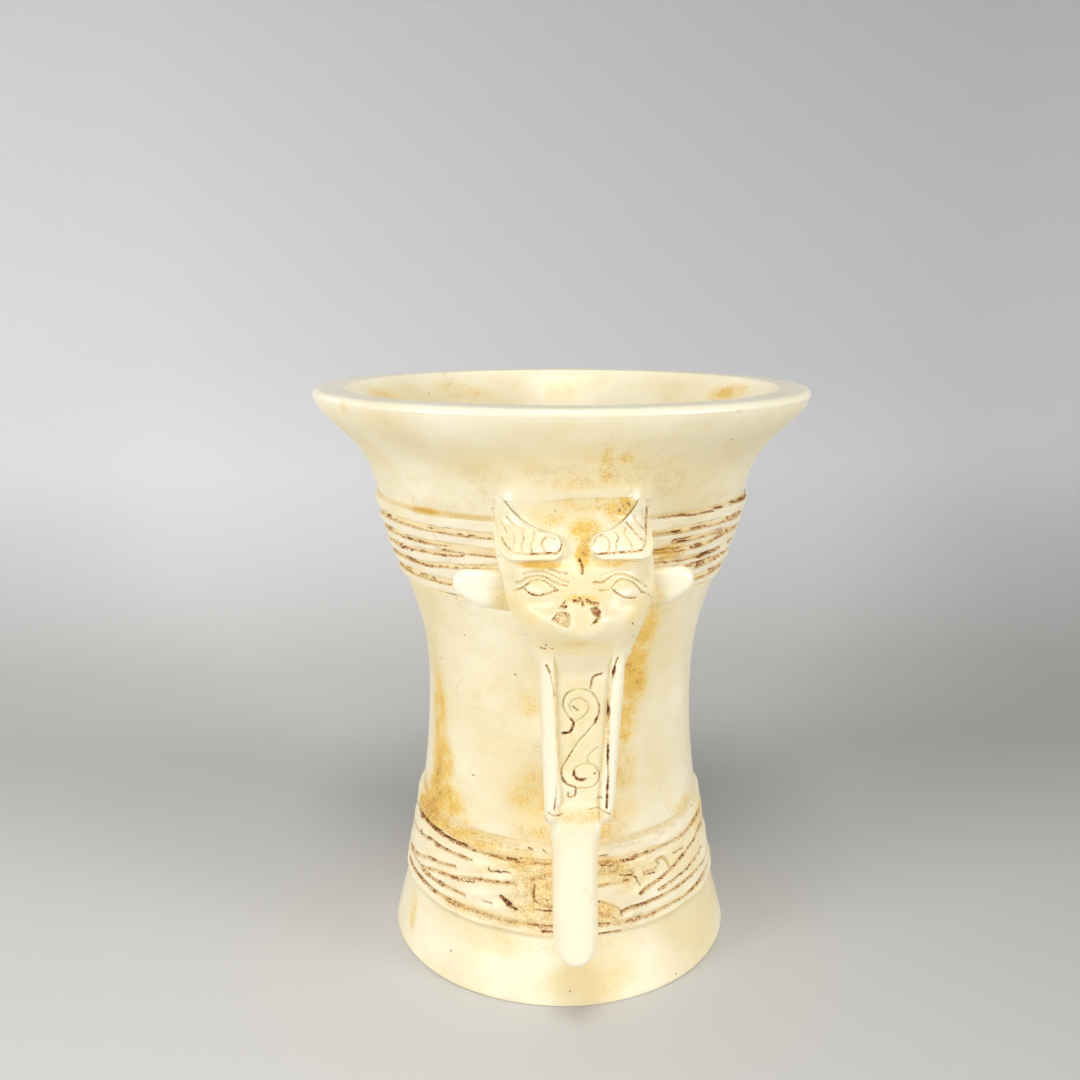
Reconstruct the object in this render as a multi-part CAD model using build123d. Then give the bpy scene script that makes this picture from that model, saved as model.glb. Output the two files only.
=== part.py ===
"""Gu-form beaker of pale carved stone with an ox-head handle.

Millimetres, +Z up. The origin is the centre of the foot's underside and the handle faces -Y.
The stone is divided along its carved forms: three wall sections, the raised cords of the two
bands, and the forms of the handle. Each form is a solid that meets its neighbours face to face.
"""

import os
from math import asin, atan2, cos, degrees, sin, sqrt

from build123d import *

# Vessel heights, from the table up
foot_height = 15.3
lower_band_height = 18.8
waist_height = 54.8
upper_band_height = 17.8
mouth_height = 23.3
waist_share = 0.4186
shoulder_share = 0.8374
neck_share = 0.23
flare_share = 0.53

# Outer radius of the waist, and how much wider the wall is at the other levels
waist_radius = 30.9
lower_band_top_flare = 2.1
lower_band_bottom_flare = 5.6
foot_flare = 9.5
shoulder_flare = 2.1
upper_band_bottom_flare = 5.0
upper_band_top_flare = 10.4
neck_flare = 11.8
mouth_flare = 15.9
lip_flare = 23.9

# Wall, lip, floor and foot
wall = 6.0
lip_width = 7.0
lip_roll = 1.4
lip_inner_roll = 0.8
lip_lean = 0.3
floor_thickness = 14.0
well_corner = 6.0
foot_ring_width = 9.4
base_recess_depth = 2.0

# Raised cords of the two bands
cord_relief = 0.9
cord_crown = 0.3
cord_gap = 0.7
upper_cord_count = 6
lower_cord_count = 4
ring_height = 2.4

# Ox head: heights are drops below the crown, and each level stands out from the one above it
head_rise = 7.3
head_height = 35.0
crown_half_width = 15.2
crown_relief = 0.65
brow_drop = 14.0
brow_half_width = 15.3
brow_relief = 5.4
cheek_drop = 20.0
cheek_half_width = 14.6
cheek_relief = 2.4
nose_drop = 27.0
nose_half_width = 12.3
nose_relief = 0.8
chin_half_width = 8.3
chin_setback = 3.0
crown_round = 4.5
face_round = 9.0
chin_round = 2.4

# Horns, ears, eyes and muzzle
horn_relief = 1.6
horn_inset = 0.4
horn_tip_drop = 1.6
horn_root_drop = 13.8
horn_root_width = 4.6
horn_inner = 2.7
horn_tip_width = 2.0
horn_corner = 2.6
ear_drop = 19.8
ear_length = 8.2
ear_height = 8.0
ear_tip_height = 5.0
ear_belly = 3.2
ear_thickness = 4.2
ear_setback = 7.1
ear_root_depth = 5.0
eye_drop = 18.2
eye_spread = 8.1
eye_length = 6.2
eye_opening = 3.0
eye_relief = 0.7
muzzle_drop = 23.4
muzzle_width = 18.0
muzzle_height = 11.4
muzzle_depth = 11.0
muzzle_relief = 1.7
nostril_spread = 3.5
nostril_radius = 1.5
nostril_depth = 1.6

# Strap, its panel and scroll, the lug behind it and the pendant below it
strap_length = 31.0
strap_bottom_half_width = 6.8
strap_lean = 2.2
strap_thickness = 6.4
strap_edge = 1.2
panel_border = 2.7
panel_depth = 0.5
panel_margin = 1.6
scroll_radius = 2.7
scroll_line = 1.1
scroll_relief = 0.5
scroll_pitch = 13.0
lug_width = 10.6
lug_height = 10.0
lug_dish = 4.0
pendant_width = 9.2
pendant_length = 31.5
pendant_top_thickness = 5.6
pendant_tip_thickness = 4.4
pendant_lean = 4.0
pendant_edge = 1.4

# Levels of the vessel
lower_band_bottom = foot_height
lower_band_top = lower_band_bottom + lower_band_height
waist_level = lower_band_top + waist_share * waist_height
shoulder_level = lower_band_top + shoulder_share * waist_height
upper_band_bottom = lower_band_top + waist_height
upper_band_top = upper_band_bottom + upper_band_height
neck_level = upper_band_top + neck_share * mouth_height
flare_level = upper_band_top + flare_share * mouth_height
height = upper_band_top + mouth_height
floor_top = base_recess_depth + floor_thickness
foot_radius = waist_radius + foot_flare
lip_radius = waist_radius + lip_flare
base_recess_radius = foot_radius - foot_ring_width

# Heights where the wall sections meet, behind the two bands
lower_joint = (lower_band_bottom + lower_band_top) / 2
upper_joint = (upper_band_bottom + upper_band_top) / 2

# Levels of the handle
head_top = upper_band_top + head_rise
head_bottom = head_top - head_height
strap_bottom = head_bottom - strap_length
pendant_bottom = strap_bottom - pendant_length

wall_levels = [
    (foot_radius, 0.0),
    (waist_radius + lower_band_bottom_flare, lower_band_bottom),
    (waist_radius + lower_band_top_flare, lower_band_top),
    (waist_radius, waist_level),
    (waist_radius + shoulder_flare, shoulder_level),
    (waist_radius + upper_band_bottom_flare, upper_band_bottom),
    (waist_radius + upper_band_top_flare, upper_band_top),
    (waist_radius + neck_flare, neck_level),
    (waist_radius + mouth_flare, flare_level),
    (lip_radius, height - lip_roll),
]
foot_lean = (lower_band_bottom_flare - foot_flare) / foot_height
outer_curve = Spline(*wall_levels, tangents=[(foot_lean, 1), (lip_lean, 1)])


def wall_radius(level):
    """Outer radius of the plain wall at a height, found on the profile curve."""
    low, high = 0.0, 1.0
    for _ in range(40):
        middle = (low + high) / 2
        if outer_curve.position_at(middle).Y < level:
            low = middle
        else:
            high = middle
    return outer_curve.position_at(low).X


def revolved(outline):
    """Turn a closed outline, drawn as radius and height, about the vessel's axis."""
    return revolve(Plane.XZ * make_face(outline), Axis.Z, 360)


def build_core():
    """Everything inside the wall's outer surface, used to seat forms on the wall."""
    lip = Vector(lip_radius, height - lip_roll)
    closing = Polyline(lip, (lip_radius, height), (0, height), (0, 0), (foot_radius, 0))
    return revolved([outer_curve, *closing.edges()])


def build_vessel():
    """The hollow wall with its rolled lip, the well's floor and the recess under the foot."""
    inner_lip_radius = lip_radius - lip_width
    inner_levels = [(inner_lip_radius, height - lip_inner_roll)]
    for radius, level in reversed(wall_levels[1:-1]):
        if level > floor_top + well_corner:
            inner_levels.append((radius - wall, level))
    well_side = inner_levels[-1][0]
    corner_top = (well_side, floor_top + well_corner)
    inner_curve = Spline(*inner_levels, corner_top)
    roll = lip_roll * (1 - 1 / sqrt(2))
    inner_roll = lip_inner_roll * (1 - 1 / sqrt(2))
    corner = well_corner * (1 - 1 / sqrt(2))
    outline = [
        outer_curve,
        ThreePointArc(
            (lip_radius, height - lip_roll),
            (lip_radius - roll, height - roll),
            (lip_radius - lip_roll, height),
        ),
        Line((lip_radius - lip_roll, height), (inner_lip_radius + lip_inner_roll, height)),
        ThreePointArc(
            (inner_lip_radius + lip_inner_roll, height),
            (inner_lip_radius + inner_roll, height - inner_roll),
            (inner_lip_radius, height - lip_inner_roll),
        ),
        inner_curve,
        ThreePointArc(
            corner_top,
            (well_side - corner, floor_top + corner),
            (well_side - well_corner, floor_top),
        ),
        *Polyline(
            (well_side - well_corner, floor_top),
            (0, floor_top),
            (0, base_recess_depth),
            (base_recess_radius, base_recess_depth),
            (base_recess_radius, 0),
            (foot_radius, 0),
        ).edges(),
    ]
    return revolved(outline)


def slab(low, high):
    """A wide block between two heights."""
    width = 4 * lip_radius
    return Pos(0, 0, low) * Box(width, width, high - low, align=(Align.CENTER, Align.CENTER, Align.MIN))


def build_cord(low, high):
    """One raised cord round the wall, slightly crowned, from one height to another."""
    middle = (low + high) / 2
    inside = min(wall_radius(low), wall_radius(high)) - wall / 2
    low_edge = (wall_radius(low) + cord_relief - cord_crown, low)
    high_edge = (wall_radius(high) + cord_relief - cord_crown, high)
    crown = (wall_radius(middle) + cord_relief, middle)
    outline = [
        ThreePointArc(low_edge, crown, high_edge),
        *Polyline(high_edge, (inside, high), (inside, low), low_edge).edges(),
    ]
    return revolved(outline) - core


def build_cords(low, high, count):
    """Cords of equal height with a gap between each two, as separate solids."""
    pitch = (high - low + cord_gap) / count
    return [build_cord(low + i * pitch, low + (i + 1) * pitch - cord_gap) for i in range(count)]


# Distances of the handle's front from the vessel's axis
crown_reach = wall_radius(head_top) + crown_relief
brow_reach = crown_reach + brow_relief
cheek_reach = brow_reach + cheek_relief
nose_reach = cheek_reach + nose_relief
chin_reach = nose_reach - chin_setback
strap_bottom_reach = chin_reach - strap_lean
pendant_tip_reach = strap_bottom_reach + pendant_lean
muzzle_reach = nose_reach + muzzle_relief
ear_reach = brow_reach - ear_setback

head_levels = [
    (head_top, crown_half_width, crown_reach, crown_round),
    (head_top - brow_drop, brow_half_width, brow_reach, face_round),
    (head_top - cheek_drop, cheek_half_width, cheek_reach, face_round),
    (head_top - nose_drop, nose_half_width, nose_reach, face_round),
    (head_bottom, chin_half_width, chin_reach, chin_round),
]


def head_section(level, half_width, reach, depth):
    """A level outline of the head: flat back inside the wall, straight sides and a half-oval face."""
    back = -waist_radius
    side = -(reach - depth)
    left_arc = EllipticalCenterArc((0, side), half_width, depth, 180, arc_size=90)
    right_arc = EllipticalCenterArc((0, side), half_width, depth, 270, arc_size=90)
    sides = Polyline((half_width, side), (half_width, back), (-half_width, back), (-half_width, side))
    return Pos(0, 0, level) * make_face([left_arc, right_arc, *sides.edges()])


def face_point(x, level):
    """A point on the head's face and the turn of its outward normal from -Y, in degrees."""
    for upper, lower in zip(head_levels, head_levels[1:]):
        if level >= lower[0]:
            break
    share = (level - lower[0]) / (upper[0] - lower[0])
    half_width, reach, depth = (low + share * (high - low) for high, low in zip(upper[1:], lower[1:]))
    turn = asin(x / half_width)
    y = -(reach - depth) - depth * cos(turn)
    across = sin(turn) / half_width
    outward = cos(turn) / depth
    return Vector(x, y, level), degrees(atan2(across, outward))


def facing_plane(point, turn, tilt=0.0):
    """A drawing plane facing out of the handle: X to the right, Y up, turned and tilted as given."""
    plane = Plane(origin=point, x_dir=(1, 0, 0), z_dir=(0, -1, 0))
    return Plane(plane.location * Rotation(tilt, turn, 0))


def build_head_blank():
    """The whole head before it is seated on the wall."""
    return loft([head_section(*level) for level in head_levels])


def build_horn():
    """The right-hand horn: a thick curl at the brow that rises to a narrow tip at the crown."""
    rise = brow_reach - crown_reach
    slope = degrees(asin(rise / sqrt(rise**2 + brow_drop**2)))
    plane = facing_plane((0, -crown_reach, head_top), 0, -slope)
    outer = min(crown_half_width, brow_half_width) - horn_inset
    low = -horn_root_drop
    root_high = low + horn_root_width
    root_middle = low + horn_root_width / 2
    root_round = horn_root_width / 2
    bend = horn_corner * (1 - 1 / sqrt(2))
    tip = (outer - horn_tip_width, -horn_tip_drop)
    hollow = (outer - horn_tip_width - horn_corner, root_high + horn_corner)
    outline = [
        ThreePointArc(
            (horn_inner + root_round, root_high),
            (horn_inner, root_middle),
            (horn_inner + root_round, low),
        ),
        Line((horn_inner + root_round, low), (outer - horn_corner, low)),
        ThreePointArc((outer - horn_corner, low), (outer - bend, low + bend), (outer, low + horn_corner)),
        *Polyline((outer, low + horn_corner), (outer, -horn_tip_drop), tip).edges(),
        ThreePointArc(tip, hollow, (horn_inner + root_round, root_high)),
    ]
    blank = extrude(plane * make_face(outline), horn_relief)
    blank += extrude(plane * make_face(outline), -face_round)
    return blank - head_blank - core


def build_ear():
    """The right-hand ear: a leaf that points sideways, with its blunt tip raised."""
    level = head_top - ear_drop
    root = cheek_half_width - ear_root_depth
    tip = brow_half_width + ear_length
    upper = ear_height / 2
    tip_round = ear_tip_height / 2
    tip_level = upper - tip_round
    bend = tip_round * (1 - 1 / sqrt(2))
    belly = ((root + tip) / 2, (tip_level - upper) / 2 - ear_belly)
    plane = facing_plane((0, -ear_reach, level), 0)
    outline = [
        Line((root, upper), (tip - tip_round, upper)),
        ThreePointArc((tip - tip_round, upper), (tip - bend, upper - bend), (tip, tip_level)),
        ThreePointArc((tip, tip_level), belly, (root, -upper)),
        Line((root, -upper), (root, upper)),
    ]
    leaf = extrude(plane * make_face(outline), ear_thickness / 2, both=True)
    rim = leaf.edges().filter_by(Plane.XZ).group_by(Axis.Y)
    leaf = fillet(rim[0] + rim[-1], ear_thickness * 0.3)
    return leaf - head_blank - core


def build_eye():
    """The right-hand eye: an almond boss on the face."""
    point, turn = face_point(eye_spread, head_top - eye_drop)
    half = eye_length / 2
    lid = eye_opening / 2
    outline = [
        ThreePointArc((-half, 0), (0, lid), (half, 0)),
        ThreePointArc((half, 0), (0, -lid), (-half, 0)),
    ]
    plane = facing_plane(point, turn)
    blank = extrude(plane * make_face(outline), eye_relief)
    blank += extrude(plane * make_face(outline), -face_round / 2)
    return blank - head_blank - right_ear


def build_muzzle():
    """The rounded nose with two drilled nostrils, seated on the face."""
    level = head_top - muzzle_drop
    centre = Pos(0, -(muzzle_reach - muzzle_depth / 2), level)
    nose = centre * scale(Sphere(1), by=(muzzle_width / 2, muzzle_depth / 2, muzzle_height / 2))
    drill = Rotation(90, 0, 0) * Cylinder(nostril_radius, 2 * nostril_depth)
    share = nostril_spread / (muzzle_width / 2)
    surface = muzzle_reach - muzzle_depth / 2 * (1 - sqrt(1 - share**2))
    for side in (-1, 1):
        nose -= Pos(side * nostril_spread, -surface, level) * drill
    return nose - head_blank


def strap_front():
    """The plane of the strap's front face: origin at its middle, Y up the slope."""
    rise = chin_reach - strap_bottom_reach
    slope = degrees(asin(rise / sqrt(rise**2 + strap_length**2)))
    middle = (0, -(chin_reach + strap_bottom_reach) / 2, (head_bottom + strap_bottom) / 2)
    return facing_plane(middle, 0, slope)


def strap_section(level, half_width, reach):
    """A level outline of the strap."""
    front = Pos(0, -reach + strap_thickness / 2, level)
    return front * Rectangle(2 * half_width, strap_thickness)


def build_strap():
    """The tapering strap under the chin, with a sunk panel on its front."""
    top = strap_section(head_bottom, chin_half_width, chin_reach)
    bottom = strap_section(strap_bottom, strap_bottom_half_width, strap_bottom_reach)
    bar = loft([bottom, top], ruled=True)
    upright = bar.edges().filter_by(lambda edge: abs(edge.tangent_at(0.5).Z) > 0.9)
    bar = fillet(upright, strap_edge)
    half = strap_length / 2 - panel_margin
    top_half = chin_half_width - panel_border
    bottom_half = strap_bottom_half_width - panel_border
    panel = Polyline(
        (-top_half, half),
        (top_half, half),
        (bottom_half, -half),
        (-bottom_half, -half),
        close=True,
    )
    return bar - extrude(strap_front() * make_face(panel.edges()), -panel_depth)


def build_scroll():
    """The raised S scroll in the panel: two curls joined by a slanting stroke."""
    plane = strap_front().offset(-panel_depth)
    curl = scroll_radius
    inner = scroll_radius / 2
    upper = scroll_pitch / 2
    stroke = [
        CenterArc((0, upper), curl, 180, -180),
        Line((curl, upper), (-curl, -upper)),
        CenterArc((0, -upper), curl, 180, 180),
        CenterArc((curl - inner, -upper), inner, 0, 180),
        CenterArc((inner - curl, upper), inner, 180, 180),
    ]
    return extrude(plane * trace(stroke, scroll_line), scroll_relief)


def build_lug():
    """The block that carries the strap's lower end off the wall, dished under the finger gap."""
    lug_top = strap_bottom + lug_height
    strap_back = strap_bottom_reach - strap_thickness
    reach = strap_back + strap_thickness / 2
    block = Box(lug_width, reach, lug_height, align=(Align.CENTER, Align.MAX, Align.MIN))
    middle = (wall_radius(lug_top) + strap_back) / 2
    dish = Rotation(0, 90, 0) * Cylinder(lug_dish, 2 * lug_width)
    return Pos(0, 0, strap_bottom) * block - Pos(0, -middle, lug_top) * dish - core - strap_blank


def build_pendant():
    """The free tongue below the strap, leaning outwards to a rounded tip."""
    half = pendant_width / 2
    left_end = (-half, pendant_bottom + half)
    right_end = (half, pendant_bottom + half)
    front_outline = [
        *Polyline(left_end, (-half, strap_bottom), (half, strap_bottom), right_end).edges(),
        ThreePointArc(right_end, (0, pendant_bottom), left_end),
    ]
    front = extrude(Plane.XZ * make_face(front_outline), 2 * lip_radius)
    top_front = strap_bottom_reach - strap_edge / 2
    side_outline = Polyline(
        (-top_front, strap_bottom),
        (-pendant_tip_reach, pendant_bottom),
        (-(pendant_tip_reach - pendant_tip_thickness), pendant_bottom),
        (-(top_front - pendant_top_thickness), strap_bottom),
        close=True,
    )
    side = extrude(Plane.YZ * make_face(side_outline.edges()), pendant_width, both=True)
    tongue = front & side
    rim = tongue.edges().filter_by(lambda edge: edge.center().Z < strap_bottom - pendant_edge)
    long_edges = [edge for edge in rim if edge.length > pendant_width]
    return fillet(long_edges, pendant_edge)


core = build_core()
vessel = build_vessel()
head_blank = build_head_blank()
strap_blank = build_strap()

right_horn = build_horn()
right_ear = build_ear()
right_eye = build_eye()
upper_cord_blanks = build_cords(upper_band_bottom, upper_band_top, upper_cord_count)
upper_cords = [cord - head_blank for cord in upper_cord_blanks]
lower_rings = [
    build_cord(lower_band_bottom, lower_band_bottom + ring_height),
    build_cord(lower_band_top - ring_height, lower_band_top),
]
lower_cords = build_cords(
    lower_band_bottom + ring_height + cord_gap,
    lower_band_top - ring_height - cord_gap,
    lower_cord_count,
)

nodes = {
    "mouth_section": vessel & slab(upper_joint, height),
    "waist_section": vessel & slab(lower_joint, upper_joint),
    "foot_section": vessel & slab(0, lower_joint),
    "upper_band_cords": Compound(upper_cords),
    "lower_band_cords": Compound(lower_cords),
    "lower_band_rings": Compound(lower_rings),
    "ox_head": head_blank - core,
    "ox_muzzle": build_muzzle(),
    "right_horn": right_horn,
    "left_horn": mirror(right_horn, Plane.YZ),
    "right_ear": right_ear,
    "left_ear": mirror(right_ear, Plane.YZ),
    "right_eye": right_eye,
    "left_eye": mirror(right_eye, Plane.YZ),
    "handle_strap": strap_blank,
    "strap_scroll": build_scroll(),
    "handle_lug": build_lug(),
    "handle_pendant": build_pendant(),
}

os.makedirs("parts", exist_ok=True)
for name, shape in nodes.items():
    export_step(shape, f"parts/{name}.step")
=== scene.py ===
from contextlib import contextmanager
from itertools import product
from math import cos, pi, radians, sin

import bpy
import numpy as np
from mathutils import Matrix, Vector


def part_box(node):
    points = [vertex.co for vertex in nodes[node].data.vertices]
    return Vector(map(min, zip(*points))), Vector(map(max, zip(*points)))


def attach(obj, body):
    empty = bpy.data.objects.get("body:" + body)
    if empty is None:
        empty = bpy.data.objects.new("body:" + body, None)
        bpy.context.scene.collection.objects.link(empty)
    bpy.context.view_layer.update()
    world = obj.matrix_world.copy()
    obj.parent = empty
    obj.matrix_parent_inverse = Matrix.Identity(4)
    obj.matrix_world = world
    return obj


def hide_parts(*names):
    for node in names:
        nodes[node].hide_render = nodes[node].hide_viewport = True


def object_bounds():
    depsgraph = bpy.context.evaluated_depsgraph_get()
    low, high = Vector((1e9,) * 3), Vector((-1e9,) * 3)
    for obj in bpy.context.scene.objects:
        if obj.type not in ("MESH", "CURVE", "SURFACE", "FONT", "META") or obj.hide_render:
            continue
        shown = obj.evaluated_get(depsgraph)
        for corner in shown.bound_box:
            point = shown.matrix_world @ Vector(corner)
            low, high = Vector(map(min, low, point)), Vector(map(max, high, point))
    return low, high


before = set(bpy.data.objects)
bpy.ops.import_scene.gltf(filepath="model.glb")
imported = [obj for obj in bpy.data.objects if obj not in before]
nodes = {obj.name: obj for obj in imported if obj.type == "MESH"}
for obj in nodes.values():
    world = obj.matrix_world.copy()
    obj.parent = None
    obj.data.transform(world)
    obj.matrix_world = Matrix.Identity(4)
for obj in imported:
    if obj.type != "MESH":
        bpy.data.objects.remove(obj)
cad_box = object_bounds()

# Sizes below are in millimetres, heights are above the table, and angles are degrees round the
# vessel from the handle, positive to the right of someone who faces it.
MM = 0.001

height = cad_box[1].z / MM
lip_radius = cad_box[1].x / MM
upper_low, upper_high = (corner.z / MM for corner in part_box("upper_band_cords"))
lower_low, lower_high = (corner.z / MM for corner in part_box("lower_band_rings"))
head_low, head_high = (corner.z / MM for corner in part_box("ox_head"))
strap_low, strap_high = (corner.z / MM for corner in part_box("handle_strap"))
strap_reach = -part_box("handle_strap")[0].y / MM

# Wall
wall_steps = 288
ring_pitch = 0.9
rim_pitch = 0.8 * ring_pitch
lip_roll = 1.4
lip_inner_roll = 0.8
foot_round = 0.6
recess_round = 0.6
crown_ledge = 0.65
crown_slope = 0.62
crown_half = 17.0
crown_side = 6.0
crown_middle = -0.9
crown_fillet = 1.6
swell_start = head_high - 3.6
swell_ease = 1.2
crown_zone = head_high - 4, head_high + 3
floor_round = 7.0
well_top = height - 2
well_pitch = 1.3
wall_skin = 3.0
tuck_edge = 0.2
steady_radius = 20.0
lip_wear = 0.5
lip_wear_from = height - 3

# Bands
band_steps = 240
band_pitch = 1.05
band_cuts = 3
band_margin = 1.0
band_relief = 0.95
channel_depth = 0.75
channel_soft = 0.32
band_tuck = 1.6
band_root = 1.2 * band_tuck
band_edge = 0.7
band_end = 0.3
edge_groove = 0.3
groove_out = 0.45
groove_half = 0.4
# Painted shade and soil on the channels' sloping sides, then soil in the edge grooves
side_shade_and_soil, groove_soil = 0.16, 0.14
floor_stain, groove_stain = 0.34, 0.3
strip_wear = 0.25
# Cuts: their share of the drawn width, then depth and darkness. Seams of soil and painted shade
# under each channel: width, depth and darkness, then how far they drop as a share of its width.
cut_share = 0.65
cut_look = 0.5, 0.95
shade_and_soil_seam = 0.4, 0.12, 0.5
shade_and_soil_seam_drop = 0.45
# How far soil spreads past a cut, in half widths, and over how much of that it thins out
soil_reach, soil_soft = 1.25, 0.7

# Handle
sway_levels = (16, 44, 50, 79, 95, 99, 103, 114)
sway_shifts = (-0.4, -0.35, 0.35, 0.35, 0.15, -0.3, -0.8, -0.9)
horn_low = 102.0
horn_splay = 1.3
splay_from, splay_over, splay_rise = 5.0, 9.0, 12.0
horn_fade = 0.88
horn_fade_from, horn_fade_over = 101.8, 5.5
horn_wrap = 0.85
horn_bed = 1.4
horn_tip, horn_tip_over, horn_tip_sink = 109.5, 2.5, 1.6
brow_half = 12.0
brow_corner = 14.3
crown_start, crown_over = 108.0, 4.0
crown_sink, crown_sink_over = 0.5, 2.6
head_voxel, horn_voxel, ear_voxel = 0.226, 0.17, 0.22
head_bed = 3.0
chin_low, chin_high = 77.0, 88.0
chin_fade, chin_fade_over = 86.0, 7.0
strap_top = 82.0
nostril_depth, nostril_soft = 0.7, 0.35
front_from = -38.0
lug_end = 1.2
lug_bed = 2.0
strap_half_low = 6.8
strap_half_high = 8.3
strap_depth = 6.4
strap_buried = 5.0
strap_overhang = 1.5
strap_edge = 1.5
rib_half = 1.35
rib_inset = 0.1
rib_rise = 0.45
panel_sink, panel_soft = 0.6, 0.4
tongue = 2.0
tongue_tuck = 0.12
pendant_half = 4.6
pendant_crown = 2.2
pendant_top, pendant_over = strap_low - 1.5, 6.0
pendant_bed = 0, 0.6, 3
strap_middle = 0.35
shoulder_low, shoulder_high = strap_low - 1.7, strap_low + 0.8
shoulder_halves = 5.5, 6.9
shoulder_flare, flare_low, flare_over = 0.14, 37.0, 11.0
flow_high, flow_low = strap_low + 3.5, strap_low - 5
flow_half = 5.0
ear_tips = {"right": 22.7, "left": -24.2}
ear_root = 11.5
hollow_stain, edge_wear = 0.42, 0.5

# Paper under and behind the vessel, in metres, its tones from the front to the top, with painted
# shade in the bend and towards the top, and the painted shade that dims it from left to right
sheet_width = 3.0
sheet_front = 1.5
sheet_back = 0.1
sheet_bend = 0.12
sheet_height = 1.2
tone_span = -0.1, 0.55
shade_span, side_shade = (-0.15, 0.2), (1.06, 0.77)
sheet_shade_tones = [
    (0.0, "#E5E5E4"),
    (0.26, "#C8C7C4"),
    (0.4, "#BEBDBA"),
    (0.6, "#CACACC"),
    (1.0, "#A3A3A6"),
]


# Reading the CAD wall

def cad_radius(level, inside):
    """Radius of the CAD wall at a height, seen from outside or from the axis."""
    back = radians(75)
    out = Vector((cos(back), sin(back), 0))
    start = Vector((0, 0, level * MM))
    look = out
    if not inside:
        start = start + out
        look = -out
    for section in ("foot_section", "waist_section", "mouth_section"):
        hit, place, _, _ = nodes[section].ray_cast(start, look)
        if hit:
            return place.xy.length / MM
    return None


def smooth_profile(low, high, inside):
    """A smooth curve of radius by height through the CAD wall."""
    levels = np.linspace(low, high, 120)
    found = [(level, cad_radius(level, inside)) for level in levels]
    found = np.array([pair for pair in found if pair[1]])
    return np.polynomial.Chebyshev.fit(found[:, 0], found[:, 1], 16)


def cad_height(radius, above):
    """Height of the well's floor or of the recess under the foot."""
    start = Vector((radius * MM, 0, (height if above else -height) * MM))
    hit, place, _, _ = nodes["foot_section"].ray_cast(start, Vector((0, 0, -1 if above else 1)))
    return place.z / MM


bpy.context.view_layer.update()
floor_top = cad_height(1.0, above=True)
recess_depth = cad_height(1.0, above=False)
recess_radius = cad_radius(recess_depth / 2, inside=True)
lip_inside = cad_radius(height - 1.1 * lip_inner_roll, inside=True)
outer = smooth_profile(0.2, height - lip_roll, inside=False)
inner = smooth_profile(floor_top + floor_round - 0.5, height - lip_inner_roll, inside=True)


# Hand work on meshes

def points_of(piece):
    """The piece's points, one row each."""
    flat = np.empty(len(piece.data.vertices) * 3)
    piece.data.vertices.foreach_get("co", flat)
    return flat.reshape(-1, 3) / MM


def place_points(piece, points):
    piece.data.vertices.foreach_set("co", (points * MM).ravel())
    piece.data.update()


def normals_of(piece):
    flat = np.empty(len(piece.data.vertices) * 3)
    piece.data.vertices.foreach_get("normal", flat)
    return flat.reshape(-1, 3)


def paint(piece, **layers):
    """Keep shares from 0 to 1 at each point, for the material to read."""
    for layer, values in layers.items():
        held = piece.data.attributes.new(layer, "FLOAT", "POINT")
        held.data.foreach_set("value", np.clip(values, 0, 1).astype(np.float32))


def hollows(piece, rounds):
    """How far each point lies below its surroundings, in mm; raised points are negative."""
    edges = np.empty(len(piece.data.edges) * 2, np.int32)
    piece.data.edges.foreach_get("vertices", edges)
    first, second = edges.reshape(-1, 2).T
    points = points_of(piece)
    count = np.bincount(edges, minlength=len(points))
    smooth = points.copy()
    for _ in range(rounds):
        for axis in range(3):
            column = smooth[:, axis]
            total = np.bincount(first, column[second], len(points))
            total += np.bincount(second, column[first], len(points))
            smooth[:, axis] = (column + total / count) / 2
    return ((smooth - points) * normals_of(piece)).sum(1)


def drawn(rows, sizes=1):
    """Strokes from rows of numbers: a row's sizes come first, then its points in pairs."""
    return [(list(zip(row[sizes::2], row[sizes + 1 :: 2])), *row[:sizes]) for row in rows]


def ease(share):
    """A share from 0 to 1 with soft ends."""
    share = np.clip(share, 0, 1)
    return share * share * (3 - 2 * share)


def flowing(points):
    """A smooth line through listed points."""
    line = np.array(points, float)
    if len(line) == 1:
        return np.vstack([line, line])
    if len(line) == 2:
        return line
    ends = np.vstack([2 * line[0] - line[1], line, 2 * line[-1] - line[-2]])
    share = np.linspace(0, 1, 6, endpoint=False)[:, None]
    curve = []
    for a, b, c, d in zip(ends, ends[1:], ends[2:], ends[3:]):
        bend = 2 * a - 5 * b + 4 * c - d
        twist = 3 * b - a - 3 * c + d
        curve.append(b + 0.5 * ((c - a) * share + bend * share**2 + twist * share**3))
    return np.vstack([*curve, line[-1:]])


def distance(flat, order, points, reach):
    """Distance of each flat spot from a line, and the reach itself further away. The order
    sorts the spots across."""
    nearest = np.full(len(flat), float(reach))
    line = flowing(points)
    across = flat[order, 0]
    for start, end in zip(line, line[1:]):
        low = np.minimum(start, end) - reach
        high = np.maximum(start, end) + reach
        first, last = np.searchsorted(across, (low[0], high[0]))
        near = order[first:last]
        near = near[(flat[near, 1] >= low[1]) & (flat[near, 1] <= high[1])]
        along = end - start
        length = max(along @ along, 1e-9)
        share = np.clip((flat[near] - start) @ along / length, 0, 1)
        gap = np.linalg.norm(flat[near] - start - share[:, None] * along, axis=1)
        nearest[near] = np.minimum(nearest[near], gap)
    return nearest


def chisel(flat, strokes):
    """Depth and darkness of grooves: each stroke is its points, width, depth and darkness."""
    order = np.argsort(flat[:, 0])
    depth = np.zeros(len(flat))
    dark = np.zeros(len(flat))
    for points, width, deep, shade in strokes:
        gap = distance(flat, order, points, width) / (width / 2)
        depth = np.maximum(depth, deep * np.clip(1 - gap**2, 0, 1))
        dark = np.maximum(dark, shade * ease((soil_reach - gap) / soil_soft))
    return depth, dark


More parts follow.
